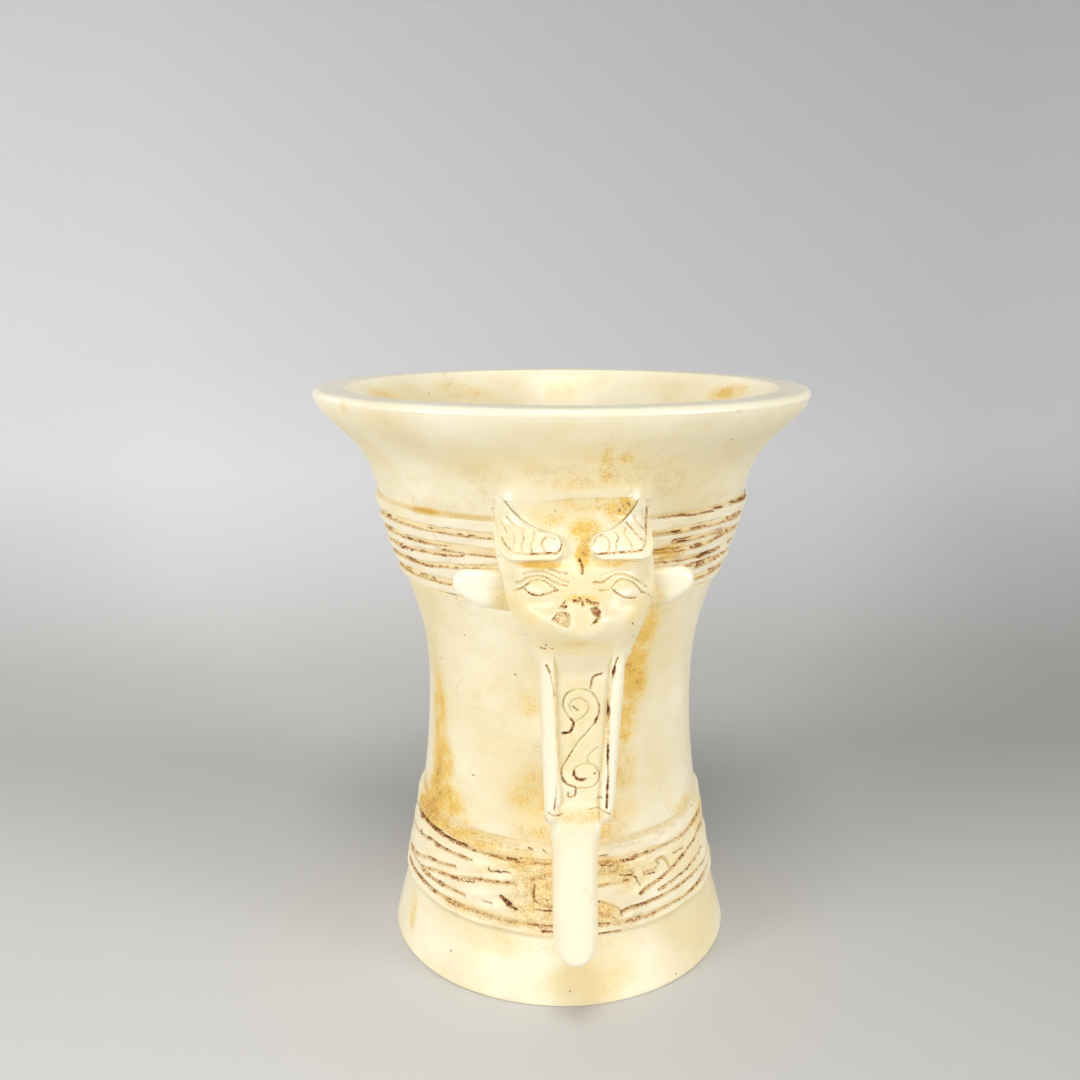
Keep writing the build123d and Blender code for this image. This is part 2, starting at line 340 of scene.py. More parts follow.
def channel(flat, strokes):
    """Depth of flat-floored channels with steep sides: each stroke is its points and width."""
    order = np.argsort(flat[:, 0])
    share = np.zeros(len(flat))
    for points, width in strokes:
        gap = distance(flat, order, points, width)
        share = np.maximum(share, ease((width / 2 - gap) / channel_soft + 0.5))
    return share


def blotch(flat, centre, size):
    """A soft round patch, full in its middle."""
    gap = np.linalg.norm((flat - np.array(centre)) / np.array(size), axis=1)
    return ease(1.5 - gap)


def patches(flat, spots):
    """Soft patches over one another: each spot is its place, half sizes and strength."""
    most = np.zeros(len(flat))
    for across, level, wide, tall, strength in spots:
        most = np.maximum(most, strength * blotch(flat, (across, level), (wide, tall)))
    return most


def round_wall(spots, radius_at):
    """Spots placed by angle, placed by length round the wall instead."""
    return [(radians(turn) * radius_at(level), level, *rest) for turn, level, *rest in spots]


def wander(angle, level):
    """How far a hand-turned wall strays from true."""
    # Waves: height, number round the vessel, phase, and mm of height to each radian of twist
    waves = ((0.11, 2, 0.7, 31), (0.08, 3, 2.1, -19), (0.05, 5, 0, 11), (0.04, 9, 1.3, 7))
    angle = np.radians(angle)
    return sum(rise * np.sin(n * angle + phase + level / twist) for rise, n, phase, twist in waves)


def angle_of(points):
    return np.degrees(np.arctan2(points[:, 0], -points[:, 1]))


def picked(*pieces):
    """Select these pieces alone, with the first active."""
    bpy.ops.object.select_all(action="DESELECT")
    for piece in pieces:
        piece.select_set(True)
    bpy.context.view_layer.objects.active = pieces[0]


def joined(forms):
    """Join forms into the first of them."""
    picked(*forms)
    bpy.ops.object.join()
    return bpy.context.object


def link(piece):
    bpy.context.scene.collection.objects.link(piece)


def stretched(add_form, place, scale, **options):
    """Add a basic form, stretched and set in place."""
    bpy.ops.object.select_all(action="DESELECT")
    add_form(**options)
    piece = bpy.context.object
    piece.scale = scale
    piece.location = place
    bpy.ops.object.transform_apply(location=True, rotation=False, scale=True)
    return piece


def worked(piece, kind, **settings):
    """Put a modifier on the active piece and apply it."""
    step = piece.modifiers.new(kind.lower(), kind)
    for key, value in settings.items():
        setattr(step, key, value)
    bpy.ops.object.modifier_apply(modifier=step.name)


@contextmanager
def editing():
    """Edit the active piece with all of it selected."""
    bpy.ops.object.mode_set(mode="EDIT")
    bpy.ops.mesh.select_all(action="SELECT")
    yield
    bpy.ops.object.mode_set(mode="OBJECT")


def turned(name, outline, steps):
    """Draw an outline of radius and height, then spin it round the vessel's axis."""
    bpy.ops.object.select_all(action="DESELECT")
    bpy.ops.mesh.primitive_plane_add(size=MM)
    piece = bpy.context.object
    piece.name = name
    with editing():
        bpy.ops.mesh.merge(type="CENTER")
        radius, level = outline[0]
        bpy.ops.transform.translate(value=(radius * MM, 0, level * MM))
        for (r, z), (next_r, next_z) in zip(outline, outline[1:]):
            step = ((next_r - r) * MM, 0, (next_z - z) * MM)
            bpy.ops.mesh.extrude_region_move(TRANSFORM_OT_translate={"value": step})
        bpy.ops.mesh.select_all(action="SELECT")
        bpy.ops.mesh.spin(steps=steps, angle=2 * pi, center=(0, 0, 0), axis=(0, 0, 1))
        bpy.ops.mesh.select_all(action="SELECT")
        bpy.ops.mesh.remove_doubles(threshold=0.01 * MM)
        bpy.ops.mesh.normals_make_consistent(inside=False)
    return piece


def finish_piece(piece, slot, stone, *stands_for):
    """Smooth shading, the material, a parent under the root body, and the CAD parts it stands for
    hidden.
    """
    picked(piece)
    bpy.ops.object.shade_smooth_by_angle(angle=radians(55))
    piece.data.materials.clear()
    piece.data.materials.append(stone)
    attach(piece, "root")
    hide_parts(*stands_for)


# Materials

def hue(code):
    """A colour written as sRGB hex, turned to linear."""
    shares = [int(code[i : i + 2], 16) / 255 for i in (1, 3, 5)]
    linear = [s / 12.92 if s <= 0.04045 else ((s + 0.055) / 1.055) ** 2.4 for s in shares]
    return (*linear, 1)


def feed(tree, node, inputs):
    """Set or link a node's inputs."""
    for key, value in inputs.items():
        if isinstance(value, bpy.types.NodeSocket):
            tree.links.new(value, node.inputs[key])
        else:
            node.inputs[key].default_value = value


def add(tree, kind, inputs=None, **settings):
    """Add a node with its settings and inputs."""
    node = tree.nodes.new(kind)
    for key, value in settings.items():
        setattr(node, key, value)
    feed(tree, node, inputs or {})
    return node


def grain(size):
    """Texture scale for features of a size in mm."""
    return 1 / (size * MM)


def carved_stone(name, cream, honey, polish):
    """Pale nephrite, carved and rubbed to a waxy polish: cloudy cream with honey drifts, light
    that goes a little way in, golden burial stain that breaks into rust specks, and brown soil in
    the cuts, with painted shade in the same tones along the channels and on the neck."""
    stone = bpy.data.materials.new(name)
    stone.use_nodes = True
    tree = stone.node_tree
    surface = tree.nodes["Principled BSDF"]
    where = add(tree, "ShaderNodeTexCoord").outputs["Object"]
    stain = add(tree, "ShaderNodeAttribute", attribute_name="stain").outputs["Fac"]
    grime = add(tree, "ShaderNodeAttribute", attribute_name="grime").outputs["Fac"]
    wear = add(tree, "ShaderNodeAttribute", attribute_name="wear").outputs["Fac"]

    def noise(size, detail, roughness=0.5, along=where):
        settings = {"Vector": along, "Scale": grain(size), "Detail": detail, "Roughness": roughness}
        return add(tree, "ShaderNodeTexNoise", settings).outputs["Fac"]

    def remap(value, low, high, to_low, to_high):
        settings = {0: value, 1: low, 2: high, 3: to_low, 4: to_high}
        return add(tree, "ShaderNodeMapRange", settings).outputs[0]

    def blend(share, under, over):
        mix = add(tree, "ShaderNodeMix", {0: share, 6: under, 7: over}, data_type="RGBA")
        return mix.outputs[2]

    def maths(operation, first, second):
        return add(tree, "ShaderNodeMath", {0: first, 1: second}, operation=operation).outputs[0]

    # Clouds about 22 mm across, mottling of 4 mm, specks of 0.8 mm and grains of 0.45 mm
    clouds = noise(22, 3)
    mottle = noise(4, 4)
    speckle = noise(0.8, 4, 0.7)
    grains = noise(0.45, 3, 0.6)
    body = blend(remap(clouds, 0.36, 0.68, 0.0, 0.85), hue(cream), hue(honey))
    body = blend(remap(mottle, 0.52, 0.78, 0.0, 0.4), body, hue("#E9D6A0"))

    # Level rubbing streaks 1.4 mm tall and about 9 mm long, and paler stone where hands wear it,
    # which on the pendant's front is also a painted highlight
    squash = {0: where, 1: (0.16, 0.16, 1.0)}
    level = add(tree, "ShaderNodeVectorMath", squash, operation="MULTIPLY").outputs[0]
    streaks = remap(noise(1.4, 3, along=level), 0.58, 0.78, 0.0, 0.25)
    body = blend(streaks, body, hue("#DCC68C"))
    body = blend(wear, body, hue("#F9F3DE"))

    # Stain: a golden tint, and rust specks where it is strongest
    uneven = maths("MULTIPLY", stain, remap(mottle, 0.3, 0.7, 0.55, 1.35))
    body = blend(remap(uneven, 0.0, 0.8, 0.0, 0.85), body, hue("#EDCE7A"))
    heavy = maths("MULTIPLY", uneven, 0.5)
    specks = remap(maths("ADD", heavy, grains), 0.74, 0.92, 0.0, 0.9)
    body = blend(specks, body, blend(mottle, hue("#F2CB5C"), hue("#DAA43A")))
    rust = remap(maths("ADD", heavy, speckle), 1.05, 1.17, 0.0, 0.62)
    body = blend(rust, body, hue("#955C18"))

    # Hairlines of soil: contours of a 7 mm noise, kept in patches
    winding = maths("ABSOLUTE", maths("SUBTRACT", noise(7, 3), 0.5), 0.0)
    patchy = remap(noise(9, 2), 0.56, 0.66, 0.0, 0.17)
    hairs = maths("MULTIPLY", remap(winding, 0.003, 0.01, 1.0, 0.0), patchy)

    # Pinpoint pits in half of a mesh of 5 mm cells
    cells = add(tree, "ShaderNodeTexVoronoi", {"Vector": where, "Scale": grain(5)})
    pick = add(tree, "ShaderNodeSeparateColor", {0: cells.outputs["Color"]}).outputs[0]
    dot = remap(cells.outputs["Distance"], 0.03, 0.055, 0.75, 0.0)
    pits = maths("MULTIPLY", dot, maths("GREATER_THAN", pick, 0.5))

    # Soil in the cuts runs from tan to nearly black, and is worn out in places; the same layer
    # carries painted shade along the channels and on the neck
    broken = remap(noise(2.5, 2), 0.35, 0.6, 0.4, 1.1)
    worn = maths("MULTIPLY", remap(grains, 0.4, 0.62, 0.35, 1.25), broken)
    soil_and_shade = maths("MAXIMUM", maths("MULTIPLY", grime, worn), maths("MAXIMUM", pits, hairs))
    tones = add(tree, "ShaderNodeValToRGB", {0: soil_and_shade})
    ramp = tones.color_ramp.elements
    ramp[0].color = hue("#DCC078")
    ramp[1].color = hue("#3D1B05")
    ramp.new(0.5).color = hue("#A2601C")
    body = blend(remap(soil_and_shade, 0.03, 0.45, 0.0, 1.0), body, tones.outputs[0])

    # Soil and painted shade are duller than the polish
    dull = remap(soil_and_shade, 0.0, 0.5, polish, polish + 0.3)
    rough = maths("ADD", dull, remap(clouds, 0.3, 0.7, -0.05, 0.07))

    # Rubbing leaves low swells about 3 mm across
    bumps = {"Height": noise(3, 5), "Strength": 0.18, "Distance": 0.25 * MM}
    relief = add(tree, "ShaderNodeBump", bumps).outputs[0]

    look = {"Base Color": body, "Roughness": rough, "Normal": relief, "IOR": 1.6}
    feed(tree, surface, look)
    depth = {"Weight": 0.12, "Radius": (1.0, 0.95, 0.8), "Scale": 2 * MM}
    feed(tree, surface, {f"Subsurface {key}": value for key, value in depth.items()})
    return stone


polished = carved_stone("polished_nephrite", "#F7EED0", "#E6D4A3", 0.32)
stained = carved_stone("soil_stained_nephrite", "#F4E8C9", "#EADAAE", 0.42)


# Vessel wall

def band_zone(low, high):
    return low - band_margin, high + band_margin


def up_wall(profile, levels, tuck=0):
    """Radius and height of a wall profile at some levels, tucked in by a depth."""
    return [(profile(z) - tuck, z) for z in levels]


def arc(middle, radius, start, end, steps):
    """Radius and height of points round a corner, from one angle to another."""
    turns = np.radians(np.linspace(start, end, steps))
    return [(middle[0] + radius * cos(turn), middle[1] + radius * sin(turn)) for turn in turns]


def wall_outline():
    """Radius and height from the middle of the underside, up the outside and down the well."""
    line = [(0, recess_depth)]
    line += [(r, recess_depth) for r in np.linspace(5, recess_radius - recess_round, 8)]
    line.append((recess_radius - recess_round / 4, recess_depth - recess_round / 4))
    line.append((recess_radius, recess_depth - recess_round))
    line += [(recess_radius + 0.1, 0.6), (recess_radius + 0.6, 0.05), (recess_radius + 1.2, 0)]
    line += arc((outer(foot_round) - foot_round, foot_round), foot_round, -90, 0, 5)
    level = foot_round + ring_pitch
    for low, high in (band_zone(lower_low, lower_high), band_zone(upper_low, upper_high)):
        line += up_wall(outer, np.arange(level, low - ring_pitch / 2, ring_pitch))
        line += up_wall(outer, [low])
        line += up_wall(outer, np.linspace(low + tuck_edge, high - tuck_edge, 6), band_tuck)
        line += up_wall(outer, [high])
        level = high + ring_pitch
    rim_low = height - lip_roll
    line += up_wall(outer, np.arange(level, crown_zone[0], ring_pitch))
    line += up_wall(outer, np.arange(*crown_zone, ring_pitch / 3))
    line += up_wall(outer, np.arange(crown_zone[1], rim_low, rim_pitch))
    line += arc((lip_radius - lip_roll, rim_low), lip_roll, 0, 90, 6)
    flat_to = lip_inside + lip_inner_roll
    line += [(r, height) for r in np.linspace(lip_radius - lip_roll, flat_to, 8)[1:]]
    line += arc((flat_to, height - lip_inner_roll), lip_inner_roll, 90, 180, 5)[1:]
    corner_top = floor_top + floor_round
    line += up_wall(inner, np.arange(well_top, corner_top, -well_pitch))
    side = inner(corner_top)
    line += arc((side - floor_round, corner_top), floor_round, 0, -90, 6)[1:]
    line += [(r, floor_top) for r in np.linspace(side - floor_round - 2, 0, 5)]
    return line


# Stains on the wall: angle and height of the middle, half sizes in mm, and strength
wall_stains = [
    (27, 83, 4, 7, 0.95),
    (25, 72, 4, 8, 1.0),
    (22.5, 62, 3, 7, 0.75),
    (22, 50, 3, 6, 0.5),
    (20, 40, 4, 5, 0.4),
    (12, 118, 14, 5, 0.28),
    (-20, 118, 10, 4, 0.2),
    (6, 5, 9, 4, 0.3),
    (-30, 12, 9, 3, 0.25),
    (-30, 60, 7, 14, 0.2),
    (-66, 58, 4, 9, 0.7),
    (-63, 46, 5, 9, 0.95),
    (-60, 38.5, 8, 5, 1.0),
    (-70, 35.5, 9, 2.5, 1.0),
    (-50, 35.2, 6, 1.6, 0.55),
    (-18, 65, 4, 3, 0.4),
    (-16, 45, 5, 7, 0.5),
    (-14, 36, 5, 2.5, 0.4),
    (14, 36, 3, 3, 0.5),
    (58, 36, 6, 2, 0.5),
    (6, 118.5, 1.8, 4, 0.65),
    (10, 120, 1.5, 2, 0.55),
    (14, 117, 6, 4, 0.35),
    (0, 115, 9, 1.5, 0.36),
    (-45, 107.2, 16, 0.5, 0.5),
    (-56, 128, 1.2, 1.2, 0.5),
    (75, 13, 2, 3, 0.3),
    (-68, 8, 2, 4, 0.5),
]
# Thin soil on the wall, painted shade on the neck and over the ox's forehead, and chips on the lip
wall_soil_and_shade = [
    # The first six rows are painted shade on the neck and over the ox's forehead
    (3, 116.5, 16, 2.5, 0.16),
    (24, 114, 5, 4, 0.15),
    (-25, 115, 7, 4, 0.12),
    (10, 121, 9, 3, 0.1),
    (-40, 109, 12, 1.5, 0.12),
    (45, 109, 12, 1.5, 0.12),
    (-64, 40, 6, 8, 0.12),
    (-66, 72, 3, 12, 0.1),
    (62, 66, 3, 12, 0.1),
    (-14, 37, 6, 2.5, 0.16),
    (15, 37, 5, 3, 0.16),
    (0, 12.5, 14, 2, 0.12),
    (-177, 129.6, 1.8, 0.6, 0.85),
    (128, 129.6, 1.0, 0.5, 0.6),
    (101, 129.4, 0.8, 0.5, 0.7),
    (-72, 129.4, 0.9, 0.4, 0.35),
    (33, 128.6, 0.5, 0.3, 0.4),
]
# Stains in the well
well_stains = [
    (112, 126, 6, 2.5, 0.6),
    (-115, 126, 5, 2, 0.55),
    (-150, 125, 7, 2.5, 0.4),
    (176, 125, 9, 3, 0.35),
    (60, 100, 14, 12, 0.4),
    (-70, 90, 10, 15, 0.4),
]


def fillet_over_crown(across, level):
    """How far the wall swells where the ox's forehead runs out into it. The forehead comes down to
    the wall along a slope, and the swelling rounds the corner between them."""
    rise = crown_ledge + (head_high - level) * crown_slope
    side = ease((crown_half - abs(across - crown_middle)) / crown_side)
    return side * (rise + np.sqrt(rise**2 + crown_fillet**2)) / 2


def build_wall():
    wall = turned("wall", wall_outline(), wall_steps)
    points = points_of(wall)
    radius = np.hypot(points[:, 0], points[:, 1])
    angle = angle_of(points)
    outside = radius > outer(np.clip(points[:, 2], 0, height)) - wall_skin
    stray = wander(angle, points[:, 2]) * ease(radius / steady_radius)
    swell = fillet_over_crown(points[:, 0], points[:, 2])
    swell *= ease((points[:, 2] - swell_start) / swell_ease)
    stray += swell * outside * (points[:, 1] < 0)
    points[:, :2] *= (1 + stray / np.maximum(radius, 1))[:, None]
    place_points(wall, points)
    flat = np.stack([np.radians(angle) * radius, points[:, 2]], 1)
    outer_stain = patches(flat, round_wall(wall_stains, outer))
    well_stain = patches(flat, round_wall(well_stains, inner))
    paint(
        wall,
        stain=np.where(outside, outer_stain, well_stain),
        grime=patches(flat, round_wall(wall_soil_and_shade, outer)) * outside,
        wear=lip_wear * ease((points[:, 2] - lip_wear_from) / 2),
    )
    finish_piece(wall, "polished_stone", polished, "mouth_section", "waist_section", "foot_section")


# Carved bands. Channels are rows of a width in mm, then angle and height of each point.
upper_channels = drawn([
    (1.4, -90, 102.6, -75, 103.3, -60, 103.6, -45, 103.5, -30, 103.5, -22, 103.5),
    (1.0, -90, 99.7, -75, 100.2, -60, 100.2, -50, 100.3, -40, 100.4),
    (2.1, -42, 100.0, -32, 99.9, -22, 99.8),
    (0.9, -90, 96.9, -70, 97.3, -62, 97.6, -50, 98.0, -42, 98.3, -34, 98.8),
    (1.0, -90, 94.5, -70, 94.6, -60, 94.8, -50, 95.0, -40, 95.7, -30, 96.4, -22, 96.9),
    (1.5, -90, 91.5, -70, 91.7, -55, 91.8, -45, 91.8, -35, 92.0, -22, 92.2),
    (1.3, 22, 103.6, 35, 103.7, 45, 103.8, 55, 103.6, 70, 103.2, 90, 102.6),
    (0.9, 29, 101.4, 40, 101.4, 50, 101.4, 58, 101.2),
    (1.0, 22, 99.6, 35, 99.4, 45, 99.7, 55, 100.3, 66, 100.4, 80, 99.9, 90, 99.7),
    (0.9, 22, 97.6, 36, 97.0, 45, 96.9, 56, 97.3),
    (0.8, 62, 97.4, 75, 97.0, 90, 96.9),
    (0.8, 30, 95.4, 40, 95.2, 52, 95.2, 66, 94.9, 80, 94.6, 90, 94.5),
    (0.6, 42, 94.1, 50, 94.5, 60, 94.6),
    (1.4, 22, 92.0, 44, 91.6, 55, 91.7, 66, 91.6, 80, 91.5, 90, 91.5),
])
# Dark cuts, in rows of the same kind
upper_cuts = drawn([
    (0.8, -79, 103.3, -72, 103.8),
    (0.7, -73, 102.9, -68, 103.4),
    (0.45, -62, 104.0, -56.5, 104.3),
    (0.4, -64, 103.2, -62, 103.3),
    (0.45, -46, 103.3, -44, 103.5),
    (0.4, -44.5, 104.3, -42.5, 104.1),
    (0.45, -39, 104.1, -36, 104.2),
    (0.45, -35.2, 103.0, -33.2, 103.1),
    (0.45, -31.2, 103.0, -28.8, 103.1),
    (1.0, -77, 99.8, -71, 100.4),
    (0.5, -60.5, 100.2, -57, 100.5),
    (0.4, -61, 99.5, -55, 99.8, -51, 99.9),
    (1.5, -66, 97.2, -65, 98.1),
    (0.6, -64, 96.9, -59.5, 97.1),
    (0.4, -57, 97.1, -55.5, 97.3),
    (0.4, -53, 97.4, -50.5, 97.6),
    (0.5, -42.3, 97.9, -40.3, 98.0),
    (0.4, -35, 98.4, -33.8, 98.6),
    (0.7, -67, 94.3, -62, 94.6),
    (0.8, -62, 94.5, -57.5, 94.9),
    (0.4, -53.5, 94.5, -47, 94.6),
    (0.5, -37, 96.2, -34.8, 96.4),
    (0.45, -28.2, 96.9, -26.8, 97.0),
    (0.6, -69, 91.5, -65, 91.7),
    (0.8, -58, 91.4, -54, 91.8),
    (0.5, -51.5, 91.5, -49.8, 91.6),
    (0.35, -48, 92.5, -41, 92.5),
    (0.8, -48, 88.9, -44, 88.8, -40, 88.9),
    (0.5, 23, 106.9, 36, 106.6),
    (0.35, 36, 106.6, 44, 106.5),
    (0.35, 45, 106.8, 55, 106.6),
    (0.9, 55, 107.0, 60, 106.7, 72, 106.5, 90, 106.6),
    (0.45, 22.5, 103.4, 32, 103.4),
    (0.4, 36, 103.4, 43, 103.3),
    (0.35, 37.5, 104.4, 41, 104.5, 45, 104.5),
    (0.6, 53.5, 103.7, 57, 103.5),
    (0.75, 59, 103.4, 66, 103.2, 80, 103.0),
    (0.35, 29.5, 101.2, 31, 101.6, 37, 101.6),
    (0.35, 30, 101.2, 36, 100.9),
    (0.4, 45, 101.4, 54, 101.5),
    (0.45, 24, 99.7, 33, 99.5),
    (0.4, 38, 99.2, 43, 99.6),
    (0.6, 51, 100.3, 56, 100.2),
    (0.6, 58, 100.4, 70, 100.4),
    (0.6, 42, 96.3, 45, 96.5),
    (0.9, 45, 96.7, 50, 97.1, 56, 97.3),
    (0.5, 64, 97.5, 78, 96.9),
    (0.4, 41, 95.3, 46, 95.0, 52, 95.3),
    (0.5, 43, 94.1, 49, 94.4),
    (0.7, 54.5, 92.0, 58, 91.5),
    (0.5, 58, 91.7, 78, 91.4),
    (0.45, 46, 88.9, 52, 89.2, 58, 89.2),
])
lower_channels = drawn([
    (1.1, -90, 30.9, -60, 30.9, -30, 30.9, -2, 30.8),
    (0.7, -90, 24.9, -72, 26.6, -62, 27.7, -57, 27.6, -50, 27.9, -40, 28.2),
    (0.7, -90, 19.0, -73, 21.3, -61, 23.5, -55, 24.2, -46, 25.2),
    (0.6, -65, 20.4, -55, 22.0, -45, 23.1, -35, 24.6, -20, 25.7),
    (0.8, -90, 19.6, -66, 20.0, -53, 20.0, -40, 20.2),
    (0.8, -90, 17.6, -60, 17.7, -30, 17.6, -2, 17.4),
    (0.7, -14, 26.9, -11, 27.6, -5, 28.9),
    (0.6, -13, 25.6, -13.4, 24, -12.6, 22.4, -9, 21.6, -4, 21.5),
    (1.2, 2, 30.8, 30, 30.6, 60, 30.7, 90, 30.9),
    (2.4, 9, 26.4, 14, 26.5, 21, 26.5),
    (1.6, 28, 26.9, 33, 26.9),
    (0.6, 33, 27.8, 36.5, 27.9, 38.3, 26.6, 39.3, 24.9),
    (0.8, 25, 22.0, 28, 22.7, 35, 23.6, 45, 25.3, 57, 26.7, 67, 27.6, 90, 24.9),
    (2.6, 9, 21.0, 12, 20.0, 15, 19.0),
    (0.5, 33, 21.3, 41, 21.8, 47, 22.0, 54, 22.6, 66, 23.4),
    (0.7, 17, 18.9, 22, 19.5, 43, 19.9, 60, 19.9, 75, 19.8, 90, 19.3),
    (0.8, 2, 17.2, 30, 17.0, 60, 17.2, 90, 17.6),
])
lower_cuts = drawn([
    (1.1, -76, 30.2, -68, 30.5, -57, 30.6),
    (0.5, -57, 30.5, -50, 30.5, -42, 30.7),
    (0.35, -24, 30.5, -20, 30.5),
    (0.35, -19, 31.0, -17.5, 31.3),
    (0.5, -16, 30.7),
    (0.5, -14, 30.6),
    (1.0, -72.5, 26.3, -70.3, 27.9),
    (0.9, -67, 27.3, -62, 27.8, -57, 27.6),
    (0.4, -57, 27.6, -50, 27.8, -38, 28.2),
    (0.45, -30.5, 28.0, -30.2, 27.2, -26, 27.5, -22, 27.8),
    (1.0, -64, 22.9, -62, 23.5),
    (0.5, -62, 23.4, -56.5, 24.1),
    (0.35, -52, 24.5, -46, 25.2),
    (0.45, -48, 22.4, -42, 22.9, -36, 23.7),
    (0.5, -33, 25.3),
    (0.5, -23, 25.3),
    (1.0, -68, 19.8, -66.5, 20.3),
    (0.3, -65, 19.9, -55, 20.0),
    (0.9, -54.3, 20.0, -52.5, 20.1),
    (0.4, -33, 20.2, -28, 20.4),
    (1.6, -25.0, 22.2, -21.5, 21.0),
    (0.9, -22.6, 20.8, -19, 20.2),
    (0.6, -13, 20.5, -7, 20.6),
    (0.6, -17.4, 23.1),
    (0.7, -8.6, 22.9),
    (0.5, -19, 17.7),
    (0.5, -45, 15.2, -42, 15.5),
    (0.7, -10, 16.3, -4, 16.3),
    (0.4, -16, 33.9, -14, 33.3),
    (0.5, -10.5, 33.6, -9.2, 32.9),
    (0.7, 10, 31.9, 13, 31.8),
    (0.5, 10.5, 29.8, 15, 29.5),
    (0.5, 19, 29.8, 26, 30.0),
    (0.35, 27, 30.2, 31, 30.0),
    (0.5, 45.5, 30.0, 47, 29.9),
    (0.5, 60, 30.5, 62, 30.2),
    (0.45, 18, 26.6, 20, 26.2, 23.4, 25.9, 24, 25.0, 25.3, 23.8),
    (0.6, 15.5, 25.8),
    (0.6, 27.1, 26.3, 27.6, 25.6, 32, 25.4),
    (0.8, 43, 27.4, 49, 27.4),
    (0.8, 25, 21.9, 27.5, 22.7, 30, 22.9),
    (0.8, 45, 25.3, 50, 25.6),
    (0.8, 54.5, 26.5, 59.5, 26.8),
    (0.35, 41, 21.7, 47, 21.9),
    (0.6, 48, 22.4, 53, 22.5),
    (0.8, 17.3, 18.8, 22, 19.5),
    (0.35, 22, 19.5, 32, 19.6),
    (0.7, 42.5, 20.0, 45, 20.1),
    (0.5, 9, 17.2, 13, 16.8),
    (0.7, 9.5, 21.6),
    (0.5, 24, 16.8),
    (0.6, 9, 14.9, 17, 14.7),
])
# Stains on the bands, in rows of the same kind as the wall's
band_stains = [
    (29, 99, 4, 2, 0.75),
    (24, 94, 2.5, 4, 0.5),
    (-40, 107, 14, 0.7, 0.6),
    (-62, 105, 6, 2, 0.35),
    (-24, 91, 4, 2, 0.4),
    (-66, 33, 10, 2.5, 0.9),
    (-40, 32.5, 10, 2, 0.75),
    (-22, 31, 8, 3, 0.5),
    (-12, 24, 7, 9, 0.5),
    (12, 28.8, 7, 2.4, 0.7),
    (9, 19.5, 4, 2.6, 0.6),
    (24, 27, 5, 5, 0.42),
    (-45, 27, 16, 6, 0.25),
    (-30, 17.5, 14, 1.5, 0.45),
    (50, 26, 10, 5, 0.3),
    (70, 30, 7, 4, 0.5),
]
# Thin soil rubbed into the bands
band_soil = [
    (-11, 24, 7, 9, 0.24),
    (12, 28.8, 7, 2, 0.3),
    (9, 19.5, 4, 2.4, 0.28),
    (20, 17, 7, 1.5, 0.2),
    (-32, 17.5, 14, 1.5, 0.18),
    (-64, 33, 12, 2, 0.26),
    (-30, 33.6, 14, 0.8, 0.2),
    (30, 33.6, 14, 0.8, 0.16),
    (-26, 92, 5, 3, 0.16),
    (27, 96, 5, 6, 0.18),
]


def bridged(channels):
    """Channels that carry on from the left side's inner ends to the right's, level by level."""
    starts = sorted(line[-1] for line, _ in channels if line[-1][0] == -22)
    ends = sorted(line[0] for line, _ in channels if line[0][0] == 22)
    return [([start, (0, (start[1] + end[1]) / 2), end], 1.0) for start, end in zip(starts, ends)]


def unrolled(strokes, radius):
    """Strokes of angle and height as lengths along the band: in front and again on the far side,
    and once for each way round."""
    lines = []
    for side, (line, *rest), lap in product((0, 180), strokes, (-360, 0)):
        turns = [a + side + lap for a, _ in line]
        if min(turns) < 185 and max(turns) > -185:
            places = [(radians(turn) * radius, z) for turn, (_, z) in zip(turns, line)]
            lines.append((places, *rest))
    return lines


